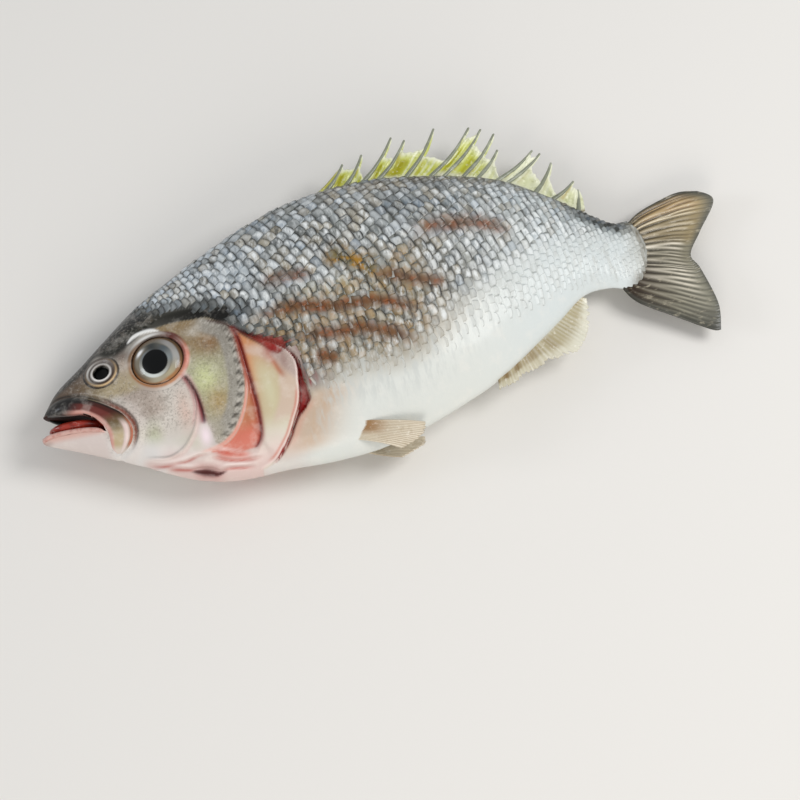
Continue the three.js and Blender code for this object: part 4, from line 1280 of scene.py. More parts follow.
def make_jaw_rim(material):
    """The pink rim of the lower jaw, round the tip from one corner of the mouth to the other."""
    left = [(*spot, on_flank(*spot, -0.2, 1)[2]) for spot in JAW_RIM]
    right = [(x, y, 2 * LIE - z) for x, y, z in reversed(left)]
    line = curve(left + [(*JAW_TIP, LIE)] + right, 120)
    thick = 1.2 * fade(np.linspace(0.02, 0.98, len(line)), 0.25)
    return rays("lower_lip", [np.column_stack([line, thick])], material, 12)


def make_tongue(material):
    """A flat tongue with a groove along its top."""
    u, v = np.meshgrid(np.linspace(0, np.pi, 33), all_round(48), indexing="ij")
    x = -TONGUE["long"] * np.cos(u)
    y = TONGUE["high"] * np.sin(u) * np.cos(v)
    z = TONGUE["wide"] * np.sin(u) * np.sin(v)
    y = y - 0.7 * hump(z, 0, 1.2) * (np.cos(v) > 0) * np.sin(u)
    turn = TONGUE["tilt"]
    rings = np.dstack([x * np.cos(turn) - y * np.sin(turn) + TONGUE["at"][0],
                       x * np.sin(turn) + y * np.cos(turn) + TONGUE["at"][1], z + LIE])
    return shell("tongue", rings[1:-1], [material], None, [rings[0, 0], rings[-1, 0]])


def eye_colour(away, turn, off, iris):
    """The eye's colours: away and turn are taken from the pupil, off from the eye's middle."""
    paint = Paint(len(away), iris)
    lay = paint.lay
    lay("#847c6c", band(away, 8.6, 10.4, 1.0))
    lay("#5f4a33", smooth(off, 10.2, 11.8) * 0.85)
    lay("#a3a29f", band(away, 9.2, 12, 0.8) * turned(turn, 5, 34))
    lay("#9d9a98", band(away, 10.5, 12.5, 0.8) * turned(turn, 45, 24) * 0.8)
    lay("#a89e82", band(away, 8.8, 10.8, 0.8) * turned(turn, -52, 34))
    lay("#a5764c", smooth(off, 10.8, 12) * turned(turn, -60, 50))
    lay("#8d5e36", smooth(off, 11.6, 12.4) * turned(turn, 215, 60))
    lay("#a49d89", band(away, 7.8, 9.8, 0.8) * turned(turn, -95, 30))
    lay("#535a5e", smooth(away, 10.2, 9.2) * turned(turn, 45, 34))
    lay("#3a3d3c", smooth(away, 11.5, 10) * turned(turn, 90, 28))
    lay("#777e7f", smooth(away, 9.4, 8.6) * turned(turn, 5, 24))
    lay("#d0d5d0", smooth(away, 8.3, 7.6) * turned(turn, 242, 72))
    lay("#74797b", smooth(away, 7.8, 7.2) * turned(turn, 135, 30))
    # A painted highlight: a white glint at the upper left of the iris.
    lay("#ffffff", hump(away, 9.7, 0.8) * turned(turn, 131, 12) * 1.5)
    lay("#020303", smooth(away, 6.65, 6.25))
    lay("#2c1a12", smooth(off, 12.6, 13.3))
    return paint.colour


# ---- Eyes ----
def make_eye(name, side, material, iris):
    """An eyeball in its socket, with a black pupil under a clear front."""
    x, y = EYE["at"]
    turn = np.array(Vector((0, 0, 1)).rotation_difference(Vector(normal_at(x, y, side))).to_matrix())
    tilt = np.linspace(0.02, np.pi - 0.02, 120)[:, None]
    angle = all_round(144)
    radius, high = EYE["ball"] * np.sin(tilt), EYE["bulge"] * np.cos(tilt) - EYE["sunk"]
    ring = np.stack([radius * np.cos(angle), radius * np.sin(angle), high + 0 * angle], -1)
    centre = on_flank(x, y, 0, side)
    rings = ring @ turn.T + centre
    ends = np.array([[0, 0, s * EYE["bulge"] - EYE["sunk"]] for s in (1, -1)]) @ turn.T + centre
    spot = np.concatenate([rings.reshape(-1, 3), ends])[:, :2] - (x, y)
    from_pupil = spot - PUPIL_AT
    direction = np.degrees(np.arctan2(from_pupil[:, 1], from_pupil[:, 0]))
    off = np.hypot(spot[:, 0], spot[:, 1] / EYE_TALL)
    colour = eye_colour(np.hypot(*from_pupil.T), direction, off, iris)
    return shell(name, rings, [material], {"paint": colour}, ends)


# ---- Scales ----
def scale_shape():
    """One scale, 1 long and 1 wide: a shield that rises from under the skin to its round hind edge."""
    a, b = np.meshgrid((0, 0.34, 0.5, 0.66, 0.82, 0.93, 1), np.linspace(-1, 1, 7), indexing="ij")
    hind = 0.5 - 0.15 * (1 - np.sqrt(1 - (0.98 * b) ** 2))
    width = 0.5 * (0.88 + 0.12 * np.sin(np.pi * np.minimum(1, a + 0.25)))
    top = np.stack([-0.5 + (hind + 0.5) * a, b * width, 0.18 * a - 0.09 - 0.02 * b * b], -1).reshape(-1, 3)
    # edge: dark at the hind rim, pigment with painted shade, and a painted shadow over the front, where the
    # scale before lies over it; gleam: a painted highlight streak across the middle.
    edge = np.maximum(0.9 * smooth(a, 0.85, 1.0) * (1 - 0.6 * b**4), 0.5 * smooth(a, 0.6, 0.34)).ravel()
    gleam = (band(a, 0.55, 0.88, 0.12) * (1 - np.abs(b) ** 3)).ravel()
    quads, loop = sheet_faces(np.arange(a.size).reshape(a.shape))
    under = top[loop] * (0.97, 0.97, 0) - (0, 0, 0.2)
    first = len(top) + np.arange(len(loop))
    sides = np.stack([np.roll(loop, -1), loop, first, np.roll(first, -1)], -1)
    faces = [*quads.tolist(), *sides.tolist(), first.tolist()]
    mesh = bpy.data.meshes.new("one_scale")
    mesh.from_pydata(np.concatenate([top, under]).tolist(), [], faces)
    # The walls are darkened like the rim: in full at the hind edge, a little at the sides.
    mark(mesh, {"edge": np.concatenate([edge, np.where(top[loop, 0] > 0.3, 1.0, 0.3)]),
                "gleam": np.concatenate([gleam, np.zeros(len(loop))])})
    mesh.polygons.foreach_set("use_smooth", [number < len(quads) for number in range(len(faces))])
    return in_scene("one_scale", mesh)


def scale_size(x):
    """How large a scale is at x, against the largest on the flank."""
    return np.interp(x, *zip(*SCALE_SIZES))


def scale_spots(pitch, tall):
    """Spots of the scales on a flank: columns that lean forward above the middle, every other one shifted."""
    rows, x, number = [], SCALES_FROM, 0
    while x < SCALES_TO:
        size = float(scale_size(x))
        y = np.linspace(-70, 90, 800)
        share, up = locate(min(x, TRUNK_END), y)
        keep = (up > 0) & (up < 1)
        y, up, out = y[keep], up[keep], section(share, up)[1][keep]
        crowd = np.interp(up, [0, 0.1, 0.24, 0.84, 0.95, 1], [0.5, 0.6, 1, 1, 0.7, 0.5])
        travelled = np.cumsum(np.hypot(np.gradient(y), np.gradient(out)) / crowd) / (tall * size)
        middle = np.interp(MIDLINE, up, travelled)
        steps = np.arange(np.ceil(-middle), travelled[-1] - middle, 1) + 0.5 * (number % 2)
        height = np.interp(middle + steps, travelled, y)
        lean = 0.42 * np.maximum(height - np.interp(MIDLINE, up, y) - 8, 0)
        lean *= np.interp(x, [60, 130, 240, 300], [0.5, 1, 0.8, 0.3])
        rows.append(np.column_stack([x - lean, height, size + 0 * height, np.interp(height, y, crowd)]))
        x += pitch * size
        number += 1
    return np.concatenate(rows)


def scaled_skin(f):
    """Which spots carry scales: behind the gill slit and the nape's edge, before the tail, over the belly."""
    behind = (f.behind > 1.4) & (f.x > 104)
    nape = (f.nape > -0.4) & (f.x > 52) & (f.y > 14) & (f.brow < -0.2)
    end = f.x < 319.5 + 2.0 * np.sin(f.y / 5)
    above = f.pale > -6 - 5 * smooth(f.x, 135, 150) - 8 * smooth(f.x, 210, 260)
    return (behind | nape) & (f.groove < -1.3) & end & above & (f.up > 0.012) & (f.up < 0.988)


def scale_looks(f, spot, colours, rng):
    """The scales' colours, how dark each is towards its edges and how strong its painted highlights are."""
    paint = trunk_colour(f, colours)
    upper = smooth(f.pale, 2, 16) * np.interp(f.x, [200, 300], [1, 0.5])
    for code, share, amount in SCALE_TINTS:
        paint.lay(code, upper * (rng.random(len(spot)) > share) * amount)
    # A painted shadow on the scales along the nape's edge, where their highlights are dimmed too.
    nape_shadow = smooth(f.y, 12, 15) * smooth(f.x, 124, 112) * hump(np.maximum(f.nape, 0), 0, 4)
    dull = hump(np.maximum(-f.groove, 0), 0, 5)
    paint.lay("#2b2c26", nape_shadow * 0.85)
    paint.lay("#5d5950", dull * 0.7)
    dark = np.clip(rng.normal(0.95, 0.35, len(spot)), 0.2, 1.4) * smooth(f.pale, -3, 15)
    dark *= np.interp(f.x, [195, 235, 275, 320], [1, 0.85, 0.6, 0.4])
    dark *= 1 - 0.6 * smooth(f.x, 225, 280) * smooth(f.up, 0.75, 0.5)
    # light: how strong each scale's painted highlights are, weaker by the nape, by the groove, high on the
    # back, in the bands and on the stalk.
    light = np.clip(rng.normal(0.65, 0.25, len(spot)), 0.1, 1) * smooth(f.pale, -4, 10)
    for shadow in (0.9 * nape_shadow, 0.8 * dull, 0.55 * smooth(f.up, 0.86, 0.96), 0.6 * f.patch(203, 56, 20, 10),
                   0.7 * stripes_at(spot), 0.95 * smooth(f.up, 0.68, 0.84) * smooth(f.x, 268, 295)):
        light *= 1 - shadow
    return paint.colour, dark, light


def scale_room(f, size, crowd, pitch, tall):
    """How long, wide, proud and high each scale lies; it stays clear of the gill opening and the groove."""
    risen = smooth(f.pale + 14 * smooth(f.x, 210, 260), -13, 14)
    proud = 0.3 + 0.7 * risen * np.interp(f.x, [230, 300], [1, 0.6])
    by_slit = (f.y < 10) & (f.x < 140)
    proud *= 1 - 0.7 * smooth(f.behind, 9, 0) * by_slit
    height = 0.2 * size * proud - 0.36 * (1 - risen)
    long = np.minimum(size * pitch * 1.6, np.where(by_slit, np.maximum(2 * f.behind - 1, 1.5), FAR))
    wide = np.minimum(size * tall * crowd * 1.2, np.where(f.x < 140, 1.8 * -f.groove, FAR))
    return long, wide, proud, height


def scale_turns(f, spot, side, swing):
    """The turns of the scales on a flank, and its outward direction: they point aft and up the flank."""
    way = normal_at(spot[:, 0], spot[:, 1], side, 1.5)
    lean = swing + (0.12 + 0.4 * smooth(f.up, 0.5, 0.8)) * (1 - 0.6 * smooth(f.x, 230, 300))
    aft = np.column_stack([np.cos(lean), np.sin(lean), 0 * lean])
    aft = unit(aft - way * (aft * way).sum(1, keepdims=True))
    across = np.cross(way, aft)
    return [Matrix(axes).transposed().to_quaternion() for axes in zip(aft, across, way)], way


def gold_at(spots):
    """How gilded each spot is: strongly along a line, and a little over the flank before it."""
    away, share = near(GOLD, spots)
    gold = hump(away, 0, 5.5) * fade(share, 0.5)
    away, _ = near(PALE_EDGE, spots)
    return np.maximum(gold, 0.38 * band(away, 10, 40, 12) * band(spots[:, 0], 112, 195, 16))


def make_scales(sizes, colours, material):
    """Points on both flanks with what each scale needs, and the scales grown on them."""
    pitch, tall = sizes.scale_pitch * IN_MM, sizes.scale_height * IN_MM
    rng = np.random.default_rng(sizes.seed)
    rows = scale_spots(pitch, tall)
    rows[:, :2] += rng.normal(0, 0.4, (len(rows), 2)) * rows[:, 2:3]
    rows = rows[scaled_skin(Flank(rows[:, :2]))]
    spot, size, crowd = rows[:, :2], rows[:, 2], rows[:, 3]
    f = Flank(spot)
    colour, dark, light = scale_looks(f, spot, colours, rng)
    long, wide, proud, height = scale_room(f, size, crowd, pitch, tall)
    swing = rng.normal(0, 0.15, len(spot))
    wide = wide * rng.normal(1.0, 0.13, len(spot))
    places, turns = [], []
    for side in (1, -1):
        side_turns, way = scale_turns(f, spot, side, swing)
        turns += side_turns
        places.append(on_flank(spot[:, 0], spot[:, 1], 0, side) + way * height[:, None])
    sized = np.column_stack([long, wide, size * 4.5 * sizes.scale_lift * proud]) / IN_MM
    mesh = bpy.data.meshes.new("scale_spots")
    mesh.from_pydata(metres(np.concatenate(places)).tolist(), [], [])
    for name, kind, slot, values in (("turn", "QUATERNION", "value", np.array(turns)),
                                     ("size", "FLOAT_VECTOR", "vector", np.tile(sized, (2, 1)))):
        mesh.attributes.new(name, kind, "POINT").data.foreach_set(slot, values.astype(np.float32).ravel())
    belly = 0.7 * smooth(f.pale, 15, -3)
    mark(mesh, {"paint": np.tile(colour, (2, 1)), "dark": np.tile(dark, 2), "light": np.tile(light, 2),
                "belly": np.tile(belly, 2)})
    shape = scale_shape()
    grown = grow("scales", mesh, scales_tree(), {
        "Scale shape": shape, "Material": material, "Shade variation": sizes.shade_variation,
        "Seed": sizes.seed}, smooth_faces=False)
    bpy.data.objects.remove(shape)
    spots = places_of(grown.data)[:, :2]
    mark(grown.data, {"rust": stripes_at(spots), "gold": gold_at(spots)})
    return grown


def ray_phase(count, seed, b):
    """Which ray a share across a fin is at; whole numbers lie between rays, a little unevenly."""
    places = np.arange(count + 1, dtype=float)
    places[1:-1] += np.random.default_rng(seed).normal(0, 0.14, count - 1)
    return np.interp(b, places / count, np.arange(count + 1))


def crests(phase):
    """1 on a ray and 0 between two."""
    return (0.5 - 0.5 * np.cos(2 * np.pi * phase)) ** 0.8


# ---- Fins ----
def back_at(x):
    """The point of the back at x."""
    line = curve(SECTIONS[:, :2], 2101)
    return np.stack([np.asarray(x, float), np.interp(x, line[:, 0], line[:, 1])], -1)


def on_spine(row, share):
    foot, lean, rise = row[:3]
    share = np.asarray(share, float)
    base = back_at(foot)
    bow = 0.05 * np.sin(np.pi * np.clip(share, 0, 1))
    return np.stack([foot + lean * (share + bow), base[1] + rise * (share - bow) + 0 * share], -1)


def level(spot, off=0.0):
    """Spots as points on the backbone plane, or off it."""
    return np.concatenate([spot, (backbone(spot[..., 0]) + off)[..., None]], -1)


def blade(name, spot, wave, thick, material, paint):
    """A painted fin, or a piece of one, that waves out of the backbone plane and is thick to both sides."""
    return plate(name, level(spot, wave + thick), level(spot, wave - thick), [material],
                 {"paint": paint.colour.reshape(*spot.shape[:2], 3)})


def web_colour(rng, up, side, at, colour):
    """A web's colours: yellow in the middle, browner by its front spine, clear at its foot and rim."""
    paint = Paint(up.size, "#d4d884")
    lay = paint.lay
    rise, across = up.ravel(), side.ravel()
    streak = spread(rng.random(9), across)
    middle, warm = rng.uniform(0.3, 0.6), rng.random()
    core = hump(across, middle, 0.34) * band(rise, 0.14, 0.66, 0.2)
    yellow = smooth(at, 252, 228)
    lay("#e4e5cb", 0.9 * (1 - yellow))
    lay(colour, core * (0.2 + 0.8 * yellow))
    lay("#a29c0c", core**1.5 * smooth(streak, 0.2, 0.8) * yellow)
    lay("#b59a3e", smooth(across, 0.34, 0.12) * band(rise, 0.3, 0.9, 0.2) * warm * 0.8)
    lay("#7f8a3c", smooth(across, 0.15, 0.03) * band(rise, 0.05, 0.8, 0.2) * 0.7)
    lay("#eff0d6", smooth(streak, 0.45, 0.1) * 0.7)
    lay("#d9d9bd", smooth(rise, 0.26, 0.08))
    lay("#8b7a5c", smooth(rise, 0.12, 0.02) * 0.8)
    lay("#f1f1da", smooth(rise, 0.8, 0.98) * 0.85)
    return paint


def spine_lines(foot_thick):
    """The middle lines of the spines, thick at the foot and pointed."""
    lines = []
    for row in SPINES:
        share = np.concatenate([np.linspace(-SPINE_ROOT, 1, 18), [1.015, 1.02]])
        thick = foot_thick + (SPINE_TIP - foot_thick) * np.clip(share, 0, 1) ** 0.8
        thick[-2:] *= (0.75, 0.2)
        lines.append(np.column_stack([level(on_spine(row, share)), thick]))
    return lines


def webs_between(rng, material, colour):
    """The webs from spine to spine, waving, with a torn upper edge."""
    up, side = grid(25, 17)
    for front, rear in zip(SPINES[:-1], SPINES[1:]):
        start, end = on_spine(front, up * front[3]), on_spine(rear, up * rear[4])
        foot = back_at(front[0] + (rear[0] - front[0]) * side)
        foot[..., 1] -= WEB_SUNK
        tip = start[-1:] + (end[-1:] - start[-1:]) * side[..., None]
        ragged = spread(rng.random(9) * (0, 1, 1, 1, 1, 1, 1, 1, 0), side)
        torn = 1 - 0.08 * np.sin(np.pi * side) ** 0.8 - 0.1 * ragged
        spot = foot + (tip - foot) * (up * torn)[..., None]
        grip = smooth(np.minimum(side, 1 - side), 0.12, 0.0)[..., None]
        spot += (np.where(side[..., None] < 0.5, start, end) - spot) * grip * up[..., None]
        wave = 0.7 * np.sin(np.pi * side) * np.sin(2.2 * np.pi * up + rng.random() * 3)
        wave += 0.12 * np.sin(26 * side + 3 * up)
        paint = web_colour(rng, up, side, front[0], colour)
        yield blade("web", spot, wave, 0.32 + 0.4 * (1 - up), material, paint)


def webs_round(rng, material, colour):
    """The thin skin round each spine, widest at its foot and reaching furthest before the first one."""
    up, side = grid(25, 7)
    for number, row in enumerate(SPINES):
        reach_up = 0.97 if number else 0.92
        spot = on_spine(row, -0.08 + (reach_up + 0.08) * up)
        before = (1.8 if number else 5.5) * (1 - up) ** 0.7 + 0.4
        after = 2.8 * (1 - up) ** 0.6 + 0.6 + 0.4 * spread(rng.random(9), up)
        spot[..., 0] += -before + (before + after) * side
        thick = (0.25 + 0.3 * (1 - up)) * np.sin(np.pi * (0.1 + 0.8 * side))
        yield blade("web", spot, 0 * up, thick, material, web_colour(rng, up, side, row[0], colour))


def make_back_fin(web_material, bone, foot_thick, colour):
    """The spines, foot_thick millimetres through at the back, and the webs between and round them."""
    rng = np.random.default_rng(5)
    spines = rays("back_fin_spines", spine_lines(foot_thick), bone, 10)
    webs = [*webs_between(rng, web_material, colour), *webs_round(rng, web_material, colour)]
    return join("back_fin_web", webs), spines


def reach(line, share):
    """A point of a line, carried on straight past its ends."""
    inside = np.clip(share, 0, 1)
    step = 1e-3
    way = unit(spline(line, np.clip(inside + step, 0, 1)) - spline(line, np.clip(inside - step, 0, 1)))
    length = np.linalg.norm(np.diff(curve(line, 200), axis=0), axis=1).sum()
    return spline(line, inside) + way * ((share - inside) * length)[..., None]


def tail_colour(up, down, peak, colour):
    """The tail's colours from root to edge and from top to bottom, darkest between its rays."""
    paint = Paint(up.size, colour)
    lay = paint.lay
    lay("#a4926c", band(down, 0.05, 0.36, 0.08) * smooth(up, 1, 0.75))
    lay("#b08a58", band(down, 0.06, 0.16, 0.06) * band(up, 0.3, 0.7, 0.15) * 0.6)
    lay("#8b897a", smooth(down, 0.5, 0.75) * smooth(up, 0.3, 0.7) * 0.7)
    lay("#55442d", smooth(up, 0.4, 0.1) * 0.85)
    lay("#17110a", (1 - peak) ** 1.5 * np.interp(up, [0, 0.1, 0.45, 0.8, 1], [0.6, 0.95, 0.8, 0.4, 0.25]))
    paint.lay_on(
        peak**3,
        ("#f2e8d6", band(up, 0.13, 0.62, 0.16) * band(down, 0.24, 0.72, 0.12) * 0.95),
        ("#d3c29c", band(up, 0.12, 0.7, 0.15) * smooth(down, 0.4, 0.25) * 0.6),
        ("#d3cab8", band(up, 0.15, 0.7, 0.15) * band(down, 0.6, 0.92, 0.1) * 0.5))
    lay("#2a1907", smooth(up, 0.58, 0.15) * smooth(down, 0.42, 0.72) * 0.95)
    lay("#45463f", smooth(up, 0.55, 0.8) * smooth(down, 0.16, 0.06) * 0.7)
    lay("#4d4c43", smooth(up, 0.5, 0.8) * smooth(down, 0.8, 0.93) * 0.8)
    lay("#4a4b45", smooth(up, 0.78, 1) * 0.8)
    lay("#3c3c35", smooth(np.minimum(down, 1 - down), 0.09, 0.01) * 0.9)
    return paint


def tail_spot(a, b):
    """The spot of the tail fin at a share from its root to its edge and from its top to its bottom."""
    first, last = reach(TAIL_TOP, a), reach(TAIL_BOTTOM, a)
    root, free = spline(TAIL_ROOT, b), spline(TAIL_EDGE, b)
    corner = [np.array(p, float) for p in (TAIL_ROOT[0], TAIL_ROOT[-1], TAIL_EDGE[0], TAIL_EDGE[-1])]
    b, a = b[..., None], a[..., None]
    ruled = first + (last - first) * b + root + (free - root) * a
    near_mix, far_mix = corner[0] + (corner[1] - corner[0]) * b, corner[2] + (corner[3] - corner[2]) * b
    return ruled - near_mix - (far_mix - near_mix) * a


def make_tail(material, count, colour):
    """The tail fin: rays that fork twice on their way to the edge."""
    a, b = grid(81, 341)
    phase = ray_phase(count, 3, b)
    fork, fine = smooth(a, 0.35, 0.6), smooth(a, 0.65, 0.95)
    crest = crests(phase) * (1 - fork) + crests(2 * phase) * fork * (1 - 0.5 * fine)
    crest = crest + crests(4 * phase) * 0.5 * fine
    crest = crest * spread(np.random.default_rng(9).uniform(0.45, 1, count * 2), b)
    ridge = crest * np.interp(a, [0, 0.12, 0.5, 1], [0.3, 1, 0.75, 0.25])
    ends = np.interp(np.minimum(b, 1 - b), [0, 0.012, 0.05], [0.35, 0.8, 1])
    thick = (0.75 - 0.45 * a + 0.75 * ridge * (1 - 0.5 * a)) * ends
    wave = (0.5 * np.sin(9 * b + 2) + 0.35 * np.sin(17 * b)) * a
    paint = tail_colour(a.ravel(), b.ravel(), crest.ravel(), colour)
    return blade("tail_fin", tail_spot(a, b), wave, thick, material, paint)


def make_anal_fin(material, count, colour):
    """The belly fin near the tail: pale, with an uneven free edge and brown blotches."""
    rng = np.random.default_rng(11)
    a, b = grid(27, 409)
    root, edge = spline(ANAL_ROOT, b), spline(ANAL_EDGE, b)
    rough = spread(rng.normal(0, 1, 3 * count), b)
    rough += spread(rng.normal(0, 1, 14), b)
    spot = root + (edge - root) * (a * np.minimum(1 + 0.055 * rough * smooth(a, 0.4, 1), 1.07))[..., None]
    crest = crests(ray_phase(count, 21, b) + 0.3 * a) * spread(rng.uniform(0.3, 1, 40), b)
    thick = 0.42 - 0.22 * a + 0.3 * crest * (1 - 0.6 * a) * smooth(a, 0.1, 0.4)
    wave = (0.9 * np.sin(11 * b + 1.0) + 0.4 * np.sin(31 * b)) * a
    up, down, peak = a.ravel(), b.ravel(), crest.ravel()
    blotch = spread(rng.random(19), down)
    paint = Paint(a.size, colour)
    lay = paint.lay
    lay("#dcd7c6", peak * 0.7)
    lay("#b3a580", (1 - peak) * band(up, 0.3, 0.95, 0.15) * 0.5)
    lay("#e6e3d2", smooth(up, 0.55, 0.9) * (0.4 + 0.6 * smooth(down, 0.35, 0.7)) * 0.8)
    lay("#7c6238", band(up, 0.22, 0.62, 0.14) * np.clip(1.15 - 1.5 * down, 0, 1) * smooth(blotch, 0.2, 0.8))
    lay("#8a7040", band(up, 0.16, 0.4, 0.1) * smooth(down, 0.86, 0.97) * 0.8)
    lay("#dcdbd2", smooth(up, 0.3, 0.1))
    return blade("anal_fin", spot, wave, thick, material, paint)


def make_side_fin(name, side, material):
    """The fin behind a gill cover, a fan of rays in clear skin."""
    rng = np.random.default_rng(17)
    a, b = grid(41, 10 * SIDE_RAYS + 1)
    top_root, low_root, top_tip, low_tip = (
        np.array([x, y, backbone(x) + side * out]) for x, y, out in (*SIDE_ROOT, *SIDE_TIP))
    across, outward = unit(top_root - low_root), unit(top_tip - top_root)
    normal = unit(np.cross(across, outward))
    start = top_root + (low_root - top_root) * b[..., None]
    end = top_tip + (low_tip - top_tip) * b[..., None]
    ragged = 0.04 * spread(rng.random(3 * SIDE_RAYS), b) * smooth(a, 0.7, 1)
    spot = start + (end - start) * (a - ragged)[..., None]
    spot = spot + outward * (SIDE_ROUND * np.sin(np.pi * b) * a)[..., None]
    spot[..., 2] += side * SIDE_BOW * 4 * a * (1 - a)
    ray = crests(SIDE_RAYS * b)
    thick = normal * (0.35 - 0.15 * a + 0.4 * ray * (1 - 0.55 * a))[..., None]
    middle = spot + normal * (0.5 * np.sin(8 * b) * a)[..., None]
    paint = Paint(a.size, "#cabda4")
    up, down, crest = a.ravel(), b.ravel(), ray.ravel()
    paint.lay("#e3dac9", crest * 0.7)
    paint.lay("#a8957a", (1 - crest) * smooth(up, 0.3, 0.6) * 0.6)
    paint.lay("#9c6f3a", smooth(up, 0.62, 0.3) * smooth(down, 0.8, 0.35) * 0.85)
    return plate(name, middle + thick, middle - thick, [material],
                 {"paint": paint.colour.reshape(*a.shape, 3)})


# ---- Stage ----
# Where the camera stands and the spot it looks at, in degrees and millimetres.
AZIMUTH, ELEVATION, DISTANCE = -14.757, 70, 1333.33
AIM = np.array([177.70, -38.97, 26.3])
FLOOR_HALF = 4.0  # half the floor's width, in metres
# The lamps besides the key light: direction, distance and size in metres, power and colour.
SIDE_LAMPS = {
    "left": ((-1.3, 0.2, 0.6), 1.7, 0.5, 4.5, "#f2f6ff"),
    "front": ((-0.2, -1.1, 0.6), 1.7, 0.9, 9, "#fff9f2"),
}


def add_floor(colour):
    mesh = bpy.data.meshes.new("floor")
    corners = [(-1, -1), (1, -1), (1, 1), (-1, 1)]
    mesh.from_pydata([(x * FLOOR_HALF, y * FLOOR_HALF, 0) for x, y in corners], [], [(0, 1, 2, 3)])
    material, tree = material_tree("matt_floor")
    finish_shader(tree, rgba(colour), None, Roughness=0.8)
    mesh.materials.append(material)
    return in_scene("floor", mesh)


def add_camera():
    az, el = np.radians(AZIMUTH), np.radians(ELEVATION)
    right = np.array([np.cos(az), np.sin(az), 0])
    back = np.array([np.sin(az) * np.cos(el), -np.cos(az) * np.cos(el), np.sin(el)])
    data = bpy.data.cameras.new("camera")
    data.lens, data.sensor_width, data.clip_end = 120, 36, 20
    camera = in_scene("camera", data)
    turn = Matrix((right, np.cross(back, right), back)).transposed().to_4x4()
    camera.matrix_world = Matrix.Translation(metres(AIM + back * DISTANCE)) @ turn
    bpy.context.scene.camera = camera


def add_light(name, way, distance, size, energy, colour):
    data = bpy.data.lights.new(name, "AREA")
    data.shape, data.size, data.energy = "DISK", size, energy
    data.color = tuple(linear(colour))
    lamp = in_scene(name, data)
    target = Vector((0, 0.01, 0.02))
    lamp.location = target + Vector(way).normalized() * distance
    lamp.rotation_euler = (target - lamp.location).to_track_quat("-Z", "Y").to_euler()


def add_room(strength):
    """Even light from all round."""
    world = bpy.data.worlds.new("soft_room")
    world.use_nodes = True
    sky = world.node_tree.nodes["Background"].inputs
    sky["Color"].default_value, sky["Strength"].default_value = rgba("#eef1f4"), strength
    bpy.context.scene.world = world


# ---- Sizes and colours that a user would change ----
def colour_property(name, description, code):
    return FloatVectorProperty(name=name, description=description, subtype="COLOR", size=3, min=0, max=1,
                               default=tuple(linear(code)))


class FishSizes(bpy.types.PropertyGroup):
    scale_pitch: FloatProperty(
        name="Scale pitch", description="Distance between columns of scales",
        default=0.0045, min=0.003, max=0.01, precision=4, subtype="DISTANCE")
    scale_height: FloatProperty(
        name="Scale height", description="Height of a scale across the fish",
        default=0.0058, min=0.003, max=0.012, precision=4, subtype="DISTANCE")
    spine_thickness: FloatProperty(
        name="Spine thickness", description="Half the thickness of the back fin's spines at their foot",
        default=0.0015, min=0.0005, max=0.003, precision=4, subtype="DISTANCE")
    tail_rays: IntProperty(
        name="Tail rays", description="Number of rays in the tail fin", default=17, min=5, max=40)
    belly_fin_rays: IntProperty(
        name="Belly fin rays", description="Number of rays in the belly fin near the tail",
        default=34, min=5, max=60)
    key_light: FloatProperty(
        name="Key light", description="Power of the lamp above the fish", default=11, min=0, unit="POWER")
    room_light: FloatProperty(
        name="Room light", description="Strength of the light from all round", default=0.5, min=0, max=2)
    scale_lift: FloatProperty(
        name="Scale lift", description="How steeply the scales stand off the skin",
        default=1.0, min=0.2, max=2)
    shade_variation: FloatProperty(
        name="Shade variation", description="How much lighter or darker a scale is than its neighbours",
        default=0.28, min=0, max=0.5, subtype="FACTOR")
    seed: IntProperty(name="Seed", description="Seed of what is random on the scales", default=7)


class FishColours(bpy.types.PropertyGroup):
    belly: colour_property("Belly", "Colour of the belly", "#d8dad4")
    flank: colour_property("Flank", "Colour of the lower flank", "#a8a9a4")
    back: colour_property("Back", "Colour of the upper flank", "#8f9392")
    stripes: colour_property("Stripes", "Brown of the bands along the flank", "#6f4b2b")
    stripe_spots: colour_property("Stripe spots", "Orange of the spots on the bands", "#9c562b")
    gold: colour_property("Gold", "Colour of the gilded scales", "#a87a22")
    iris: colour_property("Iris", "Colour of the eye round its pupil", "#6c6355")
    tongue: colour_property("Tongue", "Colour of the tongue", "#9c2f20")
    web: colour_property("Back fin", "Colour of the web between the spines", "#c9cf3c")
    tail: colour_property("Tail fin", "Colour of the tail fin", "#8b8570")
    belly_fin: colour_property("Belly fin", "Colour of the fin near the tail", "#ada486")
    floor: colour_property("Floor", "Colour of the floor", "#e6e3de")


# ---- Operators ----
class FISH_OT_skin(bpy.types.Operator):
    """Builds the skin of the head and trunk, with the gill covers and the open mouth"""
    bl_idname = "fish.skin"
    bl_label = "Skin and gill covers"

    def execute(self, context):
        colours, material = context.scene.fish_colours, skin_material()
        skin = make_skin([material])
        cut(skin, mouth_cutter(lining_material()))
        f = Flank(places_of(skin.data)[:, :2])
        paint, speck = skin_colour(f, colours)
        belly = 0.7 * smooth(f.pale, -26, -6) * smooth(f.behind, 4, 12) * smooth(f.x, 110, 125)
        mark(skin.data, {"paint": paint.colour, "speck": speck, "belly": belly})
        settle(skin, "skin", "body")
        settle(make_rims(colours, material, dark_material()), "skin")
        return {"FINISHED"}


